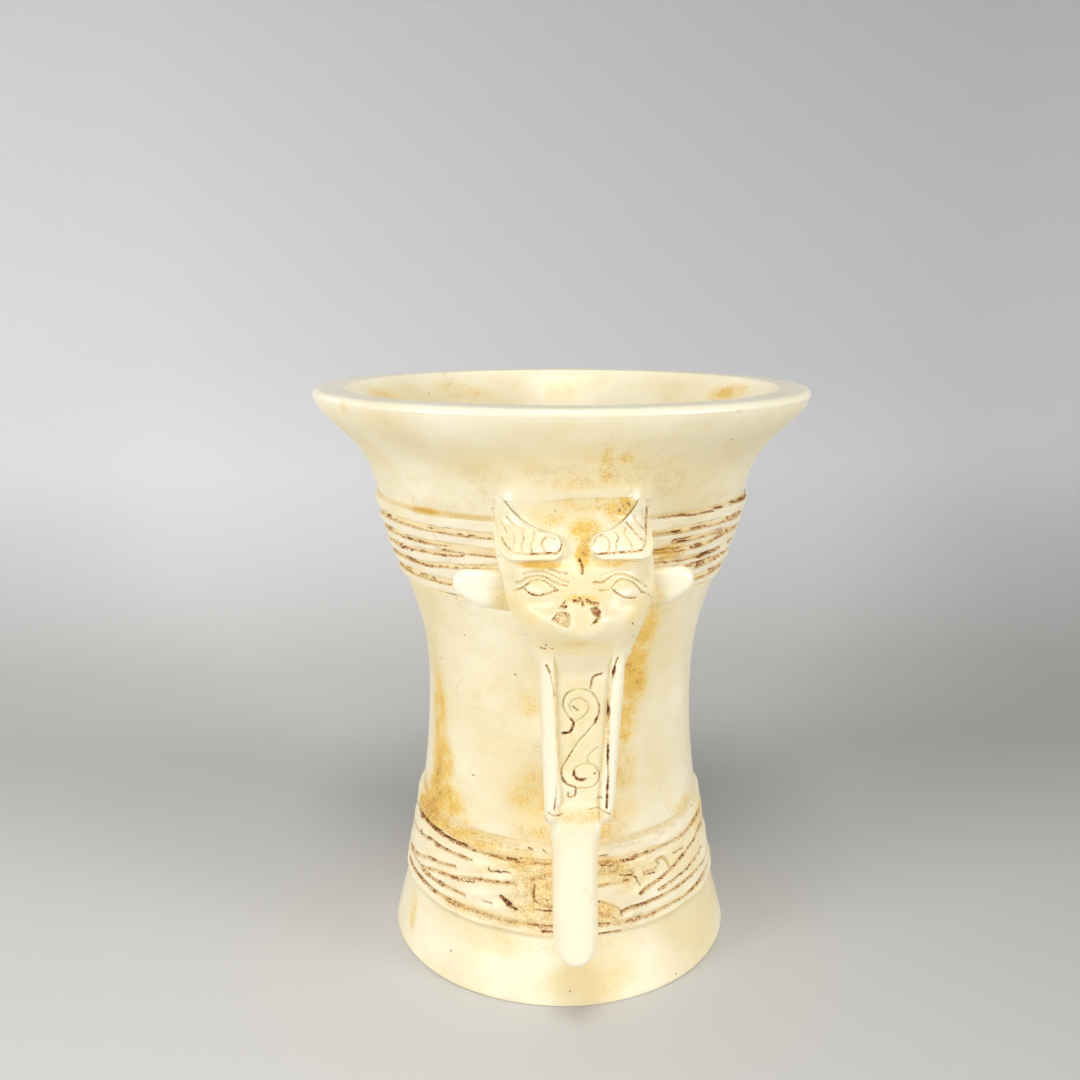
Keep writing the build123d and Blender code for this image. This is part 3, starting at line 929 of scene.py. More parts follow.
def build_band(name, low, high, channels, cuts, *stands_for):
    """A raised band of irregular strips between hand-cut channels."""
    bottom, top = band_zone(low, high)
    rows = np.arange(bottom, top + band_pitch / 2, band_pitch)
    behind = (rows[-1] - 0.1, (low + high) / 2, rows[0] + 0.1)
    outline = up_wall(outer, rows) + up_wall(outer, behind, band_root)
    outline.append(outline[0])
    band = turned(name, outline, band_steps)
    with editing():
        bpy.ops.mesh.subdivide(number_cuts=band_cuts)
    points = points_of(band)
    angle = angle_of(points)
    level = points[:, 2]
    radius = np.hypot(points[:, 0], points[:, 1])
    middle = outer((low + high) / 2)
    flat = np.stack([np.radians(angle) * middle, level], 1)
    face = ease((radius - outer(level) + band_tuck) / band_tuck)

    raised = ease((level - low) / band_edge + 0.5) * ease((high - level) / band_edge + 0.5)
    rim = np.minimum(abs(level - low + groove_out), abs(level - high - groove_out))
    groove = np.clip(1 - (rim / groove_half) ** 2, 0, 1)
    lanes = unrolled(channels, middle)
    sunk = channel(flat, lanes)
    strokes = [(line, cut_share * width, *cut_look) for line, width in unrolled(cuts, middle)]
    # A line of painted shade and soil along the lower edge of each channel
    for line, width in lanes:
        strokes.append(([(a, z - shade_and_soil_seam_drop * width) for a, z in line], *shade_and_soil_seam))
    cut, dark = chisel(flat, strokes)
    uneven = 0.1 * np.sin(flat[:, 0] / 3.1 + level) + 0.07 * np.sin(flat[:, 0] / 1.7 - 2 * level)
    relief = raised * (band_relief + uneven - channel_depth * sunk - cut) - edge_groove * groove
    ends = ease((level - bottom) / band_end) * ease((rows[-1] - level) / band_end)
    out = wander(angle, level) + relief * ends * face
    points[:, :2] *= (1 + out / radius)[:, None]
    place_points(band, points)
    # The channels' sloping sides get painted shade as well as soil
    wall_side = 4 * sunk * (1 - sunk)
    soil_and_shade = np.maximum.reduce([dark, side_shade_and_soil * wall_side * raised, groove_soil * groove])
    stain = np.maximum(floor_stain * sunk * raised, groove_stain * groove)
    paint(
        band,
        grime=np.maximum(soil_and_shade, patches(flat, round_wall(band_soil, lambda _: middle))),
        stain=np.maximum(stain, patches(flat, round_wall(band_stains, lambda _: middle))),
        wear=strip_wear * raised * (1 - sunk),
    )
    finish_piece(band, "stained_stone", stained, *stands_for)


def build_bands():
    channels = upper_channels + bridged(upper_channels)
    build_band("upper_band", upper_low, upper_high, channels, upper_cuts, "upper_band_cords")
    replaced = "lower_band_cords", "lower_band_rings"
    build_band("lower_band", lower_low, lower_high, lower_channels, lower_cuts, *replaced)


# Handle. Strokes on it are rows of width, depth and darkness, then across and up for each point
# as seen from in front.

def cad_reach(node, across, level):
    """How far a CAD node's front stands from the axis, at a place seen from in front."""
    start = Vector((across, -4 * lip_radius, level)) * MM
    hit, place, _, _ = nodes[node].ray_cast(start, Vector((0, 1, 0)))
    return -place.y / MM


def copy_of(node, push=(0, 0, 0)):
    """A merged copy of a CAD form, pushed by a few millimetres into what carries it."""
    copy = bpy.data.objects.new(f"{node}_copy", nodes[node].data.copy())
    copy.data.transform(Matrix.Translation(Vector(push) * MM))
    link(copy)
    picked(copy)
    with editing():
        bpy.ops.mesh.remove_doubles(threshold=0.001 * MM)
    return copy


def pebble(place, size):
    """A stretched ball: its middle and half sizes."""
    ball = bpy.ops.mesh.primitive_uv_sphere_add
    return stretched(ball, Vector(place) * MM, size, segments=48, ring_count=24, radius=MM)


def rubbed(piece, rounds, chosen=None):
    """Rub a piece smooth, all over or at the chosen points."""
    settings = {"factor": 0.5, "iterations": rounds}
    if chosen is not None:
        group = piece.vertex_groups.new(name="rubbed")
        group.add(np.where(chosen)[0].tolist(), 1.0, "REPLACE")
        settings["vertex_group"] = group.name
    worked(piece, "SMOOTH", **settings)
    piece.vertex_groups.clear()


def fused(name, forms, voxel, rounds):
    """Join forms into one closed skin of small even faces, and rub its edges down."""
    piece = joined(forms)
    piece.name = name
    worked(piece, "REMESH", mode="VOXEL", voxel_size=voxel * MM)
    rubbed(piece, rounds)
    return piece


def sway(points):
    """The carver's hand: the crown sits to the left of the chin, and the left horn splays."""
    across, level = points[:, 0], points[:, 2]
    moved = points.copy()
    moved[:, 0] += np.interp(level, sway_levels, sway_shifts)
    splay = ease((-across - splay_from) / splay_over) * ease((level - horn_low) / splay_rise)
    moved[:, 0] -= horn_splay * splay
    return moved


def swells(points, bumps):
    """Add soft swellings, and hollows where the height is negative, to what looks forward."""
    for place, size, rise in bumps:
        gap = np.linalg.norm((points[:, [0, 2]] - np.array(place)) / np.array(size), axis=1)
        points[:, 1] -= rise * np.exp(-(gap**2)) * (points[:, 1] < front_from)


def pocket(flat, corners, soft):
    """Share of depth inside a small flat facet, whose corners go clockwise."""
    inside = np.full(len(flat), 9.0)
    for start, end in zip(corners, corners[1:] + corners[:1]):
        along = np.array(end) - np.array(start)
        side = np.array([along[1], -along[0]]) / np.linalg.norm(along)
        inside = np.minimum(inside, (flat - np.array(start)) @ side)
    return ease(inside / soft + 0.5)


# Swellings of the face: across and up, half sizes, and rise, which is negative for hollows
face_bumps = [
    ((0.2, 97.0), (2.2, 3.2), 0.6),
    ((-7.4, 99.2), (4.5, 1.3), 0.55),
    ((7.4, 98.9), (4.5, 1.3), 0.55),
    ((-7.7, 96.1), (3.0, 1.4), 0.5),
    ((8.0, 95.6), (3.0, 1.4), 0.5),
    ((-7.0, 93.0), (3.6, 1.3), -0.4),
    ((8.0, 92.4), (3.6, 1.3), -0.4),
    ((-4.2, 91.0), (2.6, 2.0), 0.5),
    ((3.4, 91.2), (2.4, 2.0), 0.5),
    ((0.0, 88.3), (6.5, 1.8), 0.5),
    ((0.0, 85.0), (6.0, 1.6), -0.4),
    ((0.2, 107.5), (4.5, 4.5), -0.4),
    ((0.0, 94.4), (3.2, 0.8), -0.35),
    ((0.0, 90.2), (8.0, 4.6), 1.9),
]
# Broken facets of the nostrils: darkness, then the corners
nostrils = drawn([
    (0.36, -5.9, 90.8, -4.8, 92.2, -3.3, 92.4, -2.4, 92.0, -2.4, 90.2, -2.9, 89.6, -4.6, 90.0),
    (0.6, 1.2, 93.0, 2.5, 93.3, 3.3, 92.4, 3.0, 91.4, 1.9, 91.8),
    (0.4, 2.2, 91.4, 3.0, 91.4, 2.4, 90.5, 1.3, 90.2),
])
face_lines = drawn([
    (
        0.4, 0.34, 0.34, -12.6, 95.0, -11.8, 95.4, -10.8, 96.1, -9.8, 97.0, -8.5, 97.6,
        -7.2, 97.5, -6.0, 96.9, -4.6, 96.0,
    ),
    (
        0.4, 0.34, 0.42, -10.8, 96.0, -10.0, 95.2, -9.2, 94.9, -8.2, 94.8, -7.0, 95.1,
        -5.6, 95.7, -4.6, 96.0,
    ),
    (0.4, 0.36, 0.75, -10.0, 95.2, -9.2, 94.9, -8.4, 94.8),
    (0.6, 0.4, 1.0, -7.2, 95.1),
    (
        0.45, 0.3, 0.3, -12.2, 96.6, -11.0, 97.2, -10.0, 97.9, -8.5, 98.3, -7.0, 98.2,
        -5.5, 97.5, -4.2, 97.0, -2.8, 96.7,
    ),
    (
        0.45, 0.28, 0.3, -10.8, 98.5, -9.5, 99.0, -8.0, 99.2, -6.4, 99.0, -5.0, 98.3, -3.8, 97.7,
        -2.6, 97.4,
    ),
    (0.5, 0.3, 0.5, -5.8, 99.7, -4.8, 99.3, -3.8, 99.0, -2.8, 98.9),
    (
        0.4, 0.34, 0.34, 3.1, 95.9, 5.0, 96.0, 6.0, 96.8, 7.2, 97.5, 8.3, 97.4, 9.4, 96.9,
        10.4, 96.1, 11.1, 95.2, 11.2, 94.5,
    ),
    (0.4, 0.34, 0.48, 5.6, 96.0, 6.7, 95.1, 8.0, 94.3, 9.2, 94.0, 10.4, 93.8),
    (
        0.45, 0.3, 0.4, 2.0, 97.4, 3.7, 97.3, 4.8, 97.7, 5.8, 98.3, 7.0, 98.5, 8.4, 98.2,
        10.0, 97.4, 11.4, 96.5, 12.6, 95.4,
    ),
    (0.4, 0.22, 0.3, 3.6, 98.4, 5.0, 98.9, 6.6, 99.3),
    (0.4, 0.25, 0.5, 11.2, 95.0, 12.3, 94.2),
    (0.4, 0.22, 0.4, 13.0, 93.8, 14.0, 92.6),
    (0.6, 0.45, 0.6, -0.4, 101.3, 0.1, 100.2, 0.0, 99.0),
    (0.55, 0.45, 1.0, -1.7, 94.3, -1.0, 94.2),
    (0.6, 0.45, 0.75, -0.6, 94.7, -0.1, 94.1, -0.1, 93.5),
    (0.6, 0.5, 0.95, 0.6, 94.4, 1.7, 93.9, 2.9, 93.7),
    (0.45, 0.3, 0.5, -4.4, 93.0, -3.8, 93.6, -3.2, 94.2),
    (0.5, 0.4, 1.0, -3.7, 93.2, -3.2, 93.3),
    (0.4, 0.25, 0.9, -7.6, 84.4, -6.9, 84.5),
    (0.4, 0.2, 0.8, -5.6, 84.6),
    (0.4, 0.2, 0.6, -6.7, 85.3),
    (0.4, 0.2, 0.7, 9.4, 85.9, 10.0, 86.1),
    (0.6, 0.2, 1.0, 8.4, 110.4),
    (0.6, 0.2, 0.9, 9.2, 110.9, 9.6, 110.6),
    (0.5, 0.2, 0.8, 7.7, 109.6),
    (0.4, 0.2, 0.8, 8.9, 109.7),
    (0.4, 0.2, 0.6, -4.6, 109.8),
    (0.4, 0.2, 0.5, -5.5, 108.9),
], 3)
strap_lines = drawn([
    (
        0.55, 0.34, 0.34, -1.2, 68.4, -2.6, 70.4, -3.3, 72.4, -2.7, 74.5, -0.9, 75.5, 1.5, 75.3,
        3.1, 73.6, 3.8, 71.4, 3.2, 68.8, 1.9, 66.9, -0.3, 64.2, -2.3, 60.8, -3.4, 58.8,
        -3.5, 57.3, -2.7, 55.5, -0.6, 54.4,
    ),
    (0.6, 0.45, 1.0, -3.3, 66.4, -1.9, 66.6, -1.2, 68.4, -1.8, 69.4),
    (0.6, 0.45, 1.0, 3.3, 69.4, 3.0, 68.4),
    (0.5, 0.35, 0.65, 4.1, 78.7, 2.6, 78.2, 2.1, 76.8, 2.0, 75.7),
    (
        0.45, 0.28, 0.25, -0.6, 69.0, 0.5, 69.6, 1.6, 71.0, 1.4, 72.7, 0.0, 73.6, -1.3, 73.3,
        -2.1, 72.3, -1.7, 71.1,
    ),
    (0.4, 0.3, 0.8, -1.4, 72.0, -0.4, 71.1),
    (0.4, 0.22, 0.25, 3.6, 63.2, 1.8, 61.4, 1.8, 59.9),
    (
        0.45, 0.28, 0.25, -0.6, 54.4, 2.4, 54.4, 3.9, 55.8, 4.0, 57.8, 2.5, 59.4, 0.7, 59.5,
        -0.7, 58.7, -1.1, 57.2, 0.1, 56.2, 1.7, 56.3,
    ),
    (0.65, 0.45, 1.0, -1.0, 58.0, -0.8, 56.9, 0.1, 56.2, 1.2, 56.2),
    (0.6, 0.4, 0.8, -3.3, 56.6, -2.4, 55.3, -0.7, 54.5),
    (0.5, 0.35, 0.6, -0.6, 54.4, -0.7, 52.8, -2.0, 52.4, -2.0, 53.4),
    (0.6, 0.3, 0.75, 4.0, 52.1, 4.5, 52.2),
    (0.5, 0.45, 0.4, 7.0, 82.2, 6.4, 80.0, 5.6, 73.0, 5.5, 64.0, 5.7, 56.5, 5.5, 50.2),
    (0.6, 0.5, 1.0, 6.4, 80.2, 6.2, 79.0),
    (0.5, 0.5, 1.0, 5.6, 72.0, 5.5, 70.4),
    (0.5, 0.5, 1.0, 5.5, 64.0, 5.6, 59.8),
    (0.5, 0.5, 1.0, 5.7, 57.2, 5.6, 54.2),
    (0.6, 0.5, 1.0, 5.6, 53.2, 5.5, 50.3),
    (0.5, 0.35, 0.85, -6.6, 81.0, -6.0, 79.6),
    (0.4, 0.3, 0.12, -6.0, 79.6, -5.1, 74.6, -4.6, 65.8, -4.3, 58.8, -4.7, 51.0),
    (0.4, 0.3, 0.45, -5.2, 76.5, -5.1, 74.5),
    (0.5, 0.35, 0.7, -4.7, 52.8, -4.8, 50.2),
    (0.4, 0.25, 0.5, -6.2, 49.4, -4.2, 48.6, -3.2, 48.9),
    (0.4, 0.25, 0.4, 2.2, 49.6, 4.0, 49.9, 6.2, 48.8),
], 3)
horn_lines = {
    "left": drawn([
        (
            0.5, 0.35, 0.45, -14.8, 104.8, -14.2, 104.0, -13.0, 103.2, -11.5, 102.8, -9.0, 102.7,
            -6.0, 102.8, -4.9, 102.7, -4.1, 103.3, -3.7, 104.2, -3.9, 105.2, -4.6, 105.8,
            -6.0, 106.1, -8.0, 106.5, -9.8, 107.2, -11.5, 108.6, -13.0, 110.4, -14.2, 112.3,
        ),
        (0.45, 0.3, 0.35, -6.9, 103.2, -7.4, 104.2, -7.0, 105.0, -6.0, 105.4, -5.0, 105.1),
        (0.4, 0.25, 0.3, -12.6, 105.6, -12.4, 104.6, -12.9, 103.5),
        (0.4, 0.25, 0.35, -10.9, 106.0, -10.7, 104.9, -11.2, 104.0, -11.0, 103.0),
        (0.4, 0.25, 0.35, -8.7, 106.0, -8.9, 104.9, -9.6, 104.0, -9.2, 103.0),
        (0.4, 0.25, 0.3, -13.8, 108.4, -12.8, 107.4, -11.4, 106.6, -10.4, 106.5),
        (0.4, 0.22, 0.25, -14.9, 107.4, -14.2, 106.5, -13.8, 105.6),
    ], 3),
    "right": drawn([
        (
            0.5, 0.35, 0.5, 13.3, 110.4, 13.3, 108.0, 13.0, 106.0, 12.6, 104.6, 11.9, 103.5,
            11.0, 103.0, 9.0, 102.8, 6.0, 102.7, 4.0, 102.6, 2.6, 102.5, 1.9, 102.9, 1.6, 103.7,
        ),
        (0.45, 0.3, 0.35, 2.2, 104.1, 3.0, 105.2, 4.2, 105.5, 5.2, 104.8, 5.3, 103.6, 4.8, 102.9),
        (0.4, 0.25, 0.4, 6.6, 106.0, 7.2, 105.2, 6.6, 104.2, 6.4, 103.0),
        (0.4, 0.25, 0.4, 8.8, 106.4, 8.5, 105.5, 9.3, 104.3, 9.6, 103.0),
        (0.4, 0.25, 0.4, 8.9, 107.4, 9.6, 106.6, 11.0, 105.1, 11.9, 104.3),
        (0.4, 0.25, 0.35, 10.6, 108.3, 11.3, 107.0, 12.5, 105.8),
        (0.4, 0.22, 0.3, 12.1, 109.2, 12.6, 108.0, 13.1, 107.2),
    ], 3),
}


def carve_front(piece, strokes, back=0.0):
    """Cut strokes straight back into the faces that look forward, as far as a depth, and return
    their darkness."""
    points = points_of(piece)
    ahead = ease((-normals_of(piece)[:, 1] - 0.15) / 0.25) * (points[:, 1] < back)
    depth, dark = chisel(points[:, [0, 2]], strokes)
    points[:, 1] += depth * ahead
    place_points(piece, points)
    return dark * ahead


def strap_bar():
    """A tapering bar that laps over the pendant's root and runs up into the chin."""
    low_reach = cad_reach("handle_strap", strap_half_low - 1, strap_low + 1)
    foot = strap_low - strap_overhang
    tall = strap_high - foot
    longer = (tall + strap_buried) / tall
    lean = (strap_reach - low_reach) * longer
    top_half = strap_half_low + (strap_half_high - strap_half_low) * longer
    place = Vector((0, strap_depth / 2 - low_reach, foot + tall * longer / 2)) * MM
    scale = (2 * strap_half_low * MM, strap_depth * MM, tall * longer * MM)
    bar = stretched(bpy.ops.mesh.primitive_cube_add, place, scale, size=1)
    bpy.ops.object.mode_set(mode="EDIT")
    bpy.ops.mesh.select_all(action="DESELECT")
    bpy.ops.object.mode_set(mode="OBJECT")
    for corner in bar.data.vertices:
        corner.select = corner.co.z > strap_high * MM
    bpy.ops.object.mode_set(mode="EDIT")
    bpy.ops.transform.resize(value=(top_half / strap_half_low, 1, 1))
    bpy.ops.transform.translate(value=(0, -lean * MM, 0))
    bpy.ops.object.mode_set(mode="OBJECT")
    worked(bar, "BEVEL", width=strap_edge * MM, segments=5)
    return bar


def bedded_lug():
    """The lug with its two ends run on into the wall and the strap."""
    lug = copy_of("handle_lug")
    points = points_of(lug)
    front, back = points[:, 1].min(), points[:, 1].max()
    points[points[:, 1] < front + lug_end, 1] -= lug_bed
    points[points[:, 1] > back - lug_end, 1] += lug_bed
    place_points(lug, points)
    return lug


def strap_relief(points):
    """The strap's rounded borders and the sunk panel between them, fading into chin and pendant."""
    level = points[:, 2]
    share = (level - strap_low) / (strap_high - strap_low)
    half = strap_half_low + share * (strap_half_high - strap_half_low)
    across = abs(points[:, 0] - strap_middle)
    off_rib = (across - half + rib_half + rib_inset) / rib_half
    rib = rib_rise * np.sqrt(np.clip(1 - off_rib**2, 0, 1))
    panel = panel_sink * ease((half - 2 * rib_half - rib_inset - across) / panel_soft + 0.5)
    fade = ease((chin_fade - level) / chin_fade_over) * ease((level - strap_low + 3) / 1.5)
    return (panel - rib) * fade


def proud_of_wall(points):
    """How far points stand in front of the plain wall."""
    level = np.clip(points[:, 2], 0, height - lip_roll)
    wall_front = np.sqrt(np.clip(outer(level) ** 2 - points[:, 0] ** 2, 1, None))
    return np.clip(-points[:, 1] - wall_front, 0, None)


def crowned(points):
    """The pendant's front and the shoulders by which it grows out of the strap."""
    across = points[:, 0]
    chamfer = np.interp(points[:, 2], (shoulder_low, shoulder_high), shoulder_halves)
    corner = (points[:, 2] > shoulder_low) & (points[:, 2] < shoulder_high)
    across = np.where(corner, np.clip(across, -chamfer, chamfer), across)
    points[:, 0] = across
    hung = ease((pendant_top - points[:, 2]) / pendant_over)
    points[:, 1] += hung * pendant_crown * np.clip(abs(across) / pendant_half - 0.25, 0, 1) ** 2
    shoulder = ease((points[:, 2] - flare_low) / flare_over) * (points[:, 2] < strap_low - 1)
    points[:, 0] += shoulder_flare * across * shoulder


def run_out(points, lift):
    """How far the forehead is drawn forward to meet the wall's swelling. Its top runs in under it.
    Points may stand above the forehead by a lift."""
    level = points[:, 2]
    short = fillet_over_crown(points[:, 0], level) - proud_of_wall(points) + lift
    drawn_out = np.clip(short, 0, None) * ease((level - crown_start) / crown_over)
    return drawn_out - crown_sink * ease((level - head_high) / crown_sink_over + 1)


def run_on(points, ahead):
    """Draw the strap's panel into the pendant's front with one long curve."""
    across, level = abs(points[:, 0]), points[:, 2]
    middle = (ahead > 0.9) & (across < flow_half / 2)
    start, end = (
        np.median(points[middle & (abs(level - z) < 0.25), 1]) for z in (flow_high, flow_low)
    )
    curve = start + (end - start) * ease((flow_high - level) / (flow_high - flow_low))
    share = ahead * ease((flow_half - across) / 1.2)
    share = share * ease((level - flow_low) / 3) * ease(flow_high - level)
    points[:, 1] += share * (curve - points[:, 1])


def build_handle():
    """Head, strap and pendant are worked as one stone and then parted at the CAD's own joints."""
    forms = [
        copy_of("ox_head"),
        copy_of("ox_head", (0, head_bed, 0)),
        strap_bar(),
        bedded_lug(),
        copy_of("handle_pendant"),
        copy_of("handle_pendant", pendant_bed),
    ]
    stone = fused("head", forms, head_voxel, 6)
    points = points_of(stone)
    ahead = points[:, 1] < front_from
    level = points[:, 2]
    rubbed(stone, 60, ahead & (level > chin_low) & (level < chin_high))
    rubbed(stone, 40, level < strap_low + 2)
    points = points_of(stone)
    crowned(points)
    points = sway(points)
    swells(points, face_bumps)
    points[:, 1] -= run_out(points, 0) * ahead
    ahead = ease((-normals_of(stone)[:, 1] - 0.3) / 0.3)
    points[:, 1] += strap_relief(points) * ahead * (points[:, 1] < front_from)
    run_on(points, ahead * (points[:, 1] < front_from))
    flat = points[:, [0, 2]]
    facet = np.zeros(len(points))
    for corners, shade in nostrils:
        share = pocket(flat, corners, nostril_soft) * ahead * (points[:, 1] < front_from)
        points[:, 1] += nostril_depth * share
        facet = np.maximum(facet, shade * share)
    place_points(stone, points)
    dark = carve_front(stone, face_lines)
    dark = np.maximum(dark, carve_front(stone, strap_lines, front_from))
    stain, wear = weathered(stone)
    # On the pendant's forward face the paler stone is a painted highlight as well as wear
    hung = ease((strap_low - 1 - points[:, 2]) / 9) * ease((-normals_of(stone)[:, 1] - 0.5) / 0.5)
    on_strap = ease((strap_top - points[:, 2]) / 4)
    paint(
        stone,
        grime=np.maximum(dark, facet),
        stain=np.maximum(stain, patches(flat, handle_stains)),
        wear=np.maximum((0.5 + 0.9 * on_strap) * wear, 0.6 * hung),
    )
    strap = parted(stone, "strap", head_low)
    pendant = parted(strap, "pendant", strap_low)
    finish_piece(stone, "polished_stone", polished, "ox_head", "ox_muzzle", "right_eye", "left_eye")
    finish_piece(strap, "polished_stone", polished, "handle_strap", "strap_scroll", "handle_lug")
    finish_piece(pendant, "polished_stone", polished, "handle_pendant")


def parted(piece, name, level):
    """Part a piece in two at a height. It keeps what is above, and what is below is returned. Each
    keeps a short tongue that runs on just under the other's skin."""
    lower = piece.copy()
    lower.data = piece.data.copy()
    lower.name = name
    link(lower)
    for half, way in ((piece, -1), (lower, 1)):
        picked(half)
        step = (0, 0, way * 0.01 * MM)
        with editing():
            bpy.ops.mesh.bisect(
                plane_co=(0, 0, (level + way * tongue) * MM),
                plane_no=(0, 0, 1),
                clear_inner=way < 0,
                clear_outer=way > 0,
            )
            bpy.ops.mesh.extrude_edges_move(TRANSFORM_OT_translate={"value": step})
            bpy.ops.mesh.merge(type="CENTER")
        points = points_of(half)
        beyond = way * (points[:, 2] - level)
        points -= normals_of(half) * (tongue_tuck * np.clip(beyond / 0.3, 0, 1))[:, None]
        place_points(half, points)
    return lower


# Stains on the handle: across and up, half sizes in mm, and strength
handle_stains = [
    (1, 106, 3.5, 2.5, 0.68),
    (8, 110, 3.5, 2.8, 0.85),
    (-6, 109, 4, 2, 0.45),
    (2, 111.5, 9, 2.2, 0.45),
    (0.3, 102, 1.6, 3, 0.75),
    (-8, 100.3, 5, 0.8, 0.8),
    (6, 100.6, 6, 0.8, 0.6),
    (0, 94.5, 3, 1, 0.6),
    (0, 97.5, 12, 2, 0.15),
    (0, 85, 7, 2, 0.32),
    (-11, 92, 3, 3, 0.35),
    (11, 91, 3, 3, 0.3),
    (0.3, 65, 4.5, 14, 0.25),
    (0, 48.5, 6, 1.8, 0.5),
]


def weathered(piece):
    """Stain that gathers in hollows, and wear on what stands out."""
    hollow = hollows(piece, 40)
    return hollow_stain * ease(hollow / 0.22), edge_wear * ease(-hollow / 0.2)


def build_horns():
    """The horns stand out of the brow at their roots, and their tips run out into the forehead."""
    for side in ("right", "left"):
        forms = [copy_of(f"{side}_horn"), copy_of(f"{side}_horn", (0, horn_bed, 0))]
        horn = fused(f"horn_{side}", forms, horn_voxel, 5)
        points = points_of(horn)
        under, corner = (
            np.array([cad_reach("ox_head", np.clip(x, -half, half), z) for x, _, z in points])
            for half in (brow_half, brow_corner)
        )
        lift = np.clip(-points[:, 1] - under, 0, None)
        fade = horn_fade * ease((points[:, 2] - horn_fade_from) / horn_fade_over)
        tip = ease((points[:, 2] - horn_tip) / horn_tip_over)
        points[:, 1] += lift * fade + horn_tip_sink * tip
        points[:, 1] += horn_wrap * (under - corner)
        points = sway(points)
        points[:, 1] -= run_out(points, lift * (1 - fade))
        place_points(horn, points)
        dark = carve_front(horn, horn_lines[side])
        stain, wear = weathered(horn)
        paint(horn, grime=dark, stain=stain, wear=0.4 * wear)
        finish_piece(horn, "polished_stone", polished, f"{side}_horn")


def build_ears():
    """Leaves with a blunt tip: the hull of four flat pebbles, hollowed a little in front."""
    for side, tip in ear_tips.items():
        way = 1 if tip > 0 else -1
        low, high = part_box(f"{side}_ear")
        middle = (low.y + high.y) / 2 / MM
        root = way * ear_root
        forms = [
            pebble((tip - 2.7 * way, middle - 0.2, 95.5), (2.7, 1.7, 2.75)),
            pebble((root, middle, 95.2), (2.5, 2.3, 2.3)),
            pebble((root, middle, 91.6), (2.5, 2.3, 2.2)),
            pebble((tip - 5.2 * way, middle, 92.8), (2.2, 1.8, 2.2)),
        ]
        leaf = joined(forms)
        with editing():
            bpy.ops.mesh.convex_hull()
        ear = fused(f"ear_{side}", [leaf], ear_voxel, 6)
        points = points_of(ear)
        ahead = ease((-normals_of(ear)[:, 1] - 0.2) / 0.4)
        flat = points[:, [0, 2]]
        points[:, 1] += 0.35 * ahead * blotch(flat, (tip - 6 * way, 95), (4, 1.6))
        place_points(ear, points)
        paint(
            ear,
            grime=np.zeros(len(points)),
            stain=0.4 * blotch(flat, (way * 14.5, 92), (2.5, 3)),
            wear=0.7 * ease((way * points[:, 0] - 14) / 6),
        )
        finish_piece(ear, "polished_stone", polished, f"{side}_ear")


build_wall()
build_bands()
build_horns()
build_ears()
build_handle()


# Stage: a sheet of pale grey paper that runs back and sweeps up

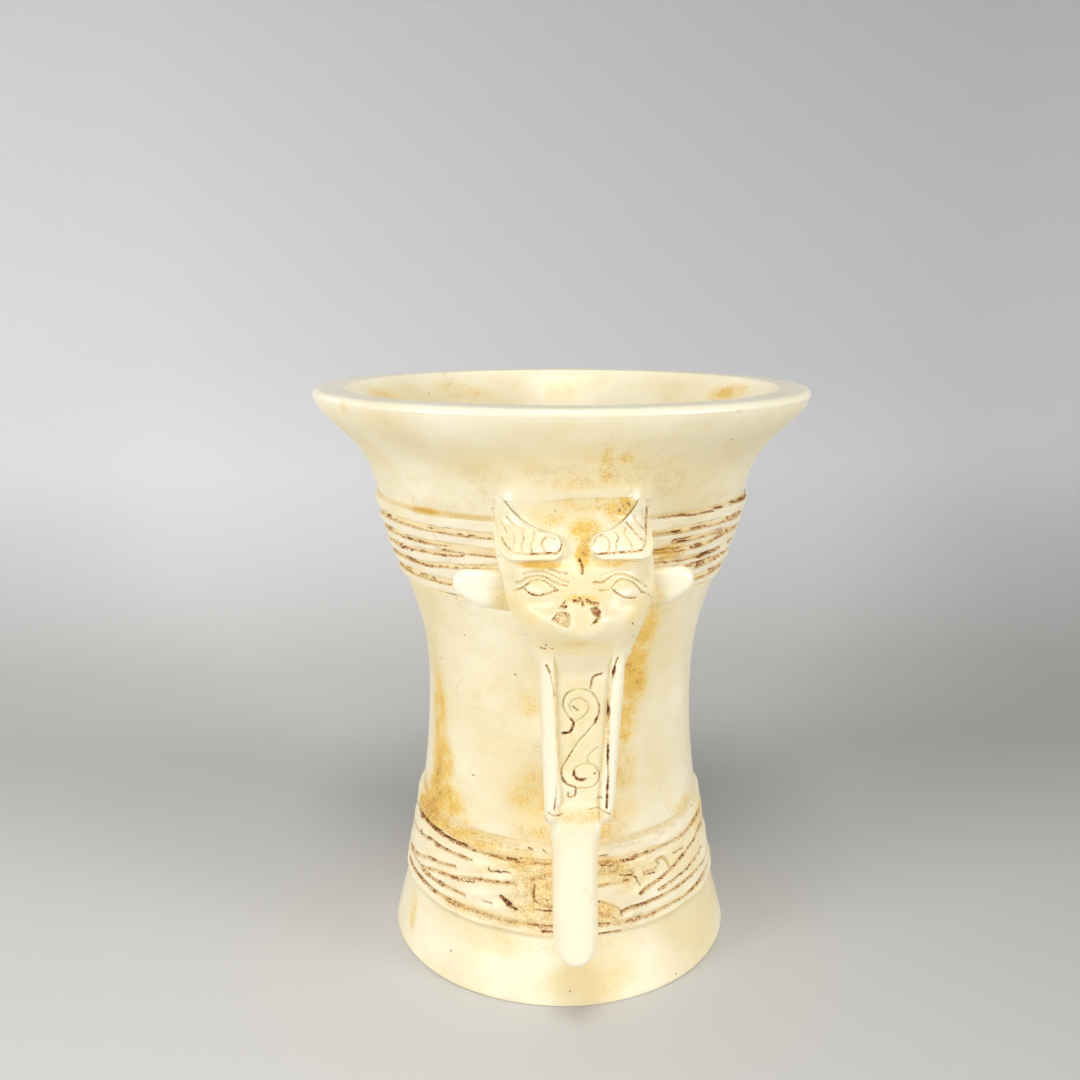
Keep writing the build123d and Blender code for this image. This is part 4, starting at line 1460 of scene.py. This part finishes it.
def build_stage():
    place = (0, (sheet_back - sheet_front) / 2, 0)
    scale = (sheet_width, sheet_front + sheet_back, 1)
    paper = stretched(bpy.ops.mesh.primitive_plane_add, place, scale, size=1)
    paper.name = "paper"
    for corner in paper.data.vertices:
        corner.select = corner.co.y > 0
    for edge in paper.data.edges:
        edge.select = all(paper.data.vertices[i].co.y > 0 for i in edge.vertices)
    for face in paper.data.polygons:
        face.select = False
    bpy.ops.object.mode_set(mode="EDIT")
    bpy.ops.mesh.select_mode(type="EDGE")
    turns = np.linspace(0, pi / 2, 25)
    steps = sheet_bend * np.diff([np.sin(turns), 1 - np.cos(turns)])
    for back, up in steps.T:
        bpy.ops.mesh.extrude_region_move(TRANSFORM_OT_translate={"value": (0, back, up)})
    bpy.ops.mesh.extrude_region_move(TRANSFORM_OT_translate={"value": (0, 0, sheet_height)})
    bpy.ops.mesh.select_mode(type="VERT")
    bpy.ops.object.mode_set(mode="OBJECT")
    bpy.ops.object.shade_smooth()

    # Pale grey satin paper, with painted shade that darkens it a little to the right and in the
    # bend
    stuff = bpy.data.materials.new("pale_grey_paper")
    stuff.use_nodes = True
    tree = stuff.node_tree
    where = add(tree, "ShaderNodeTexCoord").outputs["Object"]
    across, back, up = add(tree, "ShaderNodeSeparateXYZ", {0: where}).outputs
    along = add(tree, "ShaderNodeMath", {0: back, 1: up}, operation="ADD").outputs[0]
    share = add(tree, "ShaderNodeMapRange", dict(enumerate((along, *tone_span, 0.0, 1.0))))
    tones = add(tree, "ShaderNodeValToRGB", {0: share.outputs[0]})
    ramp = tones.color_ramp.elements
    ramp[0].color = hue(sheet_shade_tones[0][1])
    ramp[1].position, ramp[1].color = sheet_shade_tones[-1][0], hue(sheet_shade_tones[-1][1])
    for position, tone in sheet_shade_tones[1:-1]:
        ramp.new(position).color = hue(tone)
    side = add(tree, "ShaderNodeMapRange", dict(enumerate((across, *shade_span, *side_shade))))
    factors = {0: tones.outputs[0], 1: side.outputs[0]}
    dimmed = add(tree, "ShaderNodeVectorMath", factors, operation="MULTIPLY").outputs[0]
    satin = {"Base Color": dimmed, "Roughness": 0.55, "Specular IOR Level": 0.3}
    feed(tree, tree.nodes["Principled BSDF"], satin)
    paper.data.materials.append(stuff)


build_stage()

# Camera: a phone held close, a little above the rim and to the left of the handle
camera_turn = radians(3.6)
camera_pitch = 0.2218
camera_side = -4.68
camera_back = -246.5
camera_height = 149.6
photo_side = 1080
focal_pixels = 1087.8
lens = bpy.data.cameras.new("camera")
lens.sensor_width = 36
lens.lens = lens.sensor_width * focal_pixels / photo_side
lens.clip_start = 0.01
camera = bpy.data.objects.new("camera", lens)
camera.location = (
    (camera_side * cos(camera_turn) + camera_back * sin(camera_turn)) * MM,
    (camera_back * cos(camera_turn) - camera_side * sin(camera_turn)) * MM,
    camera_height * MM,
)
camera.rotation_euler = (pi / 2 - camera_pitch, 0, -camera_turn)
link(camera)
bpy.context.scene.camera = camera


def softbox(name, place, aim, size, power):
    """A square diffused lamp."""
    lamp = bpy.data.lights.new(name, "AREA")
    lamp.size = size
    lamp.energy = power
    holder = bpy.data.objects.new(name, lamp)
    holder.location = place
    holder.rotation_euler = (Vector(aim) - Vector(place)).to_track_quat("-Z", "Y").to_euler()
    link(holder)


softbox("key", (-0.05, -0.4, 0.92), (0, 0, 0.06), 0.3, 2.9)
softbox("left", (-1.23, -0.86, 0.36), (0, 0, 0.08), 0.5, 13.2)
softbox("right", (1.23, -0.86, 0.36), (0, 0, 0.08), 0.5, 12.7)
sky = bpy.data.worlds.new("room")
sky.use_nodes = True
glow = {"Color": hue("#F4F4F2"), "Strength": 0.27}
feed(sky.node_tree, sky.node_tree.nodes["Background"], glow)
bpy.context.scene.world = sky
bpy.context.scene.view_settings.view_transform = "Standard"
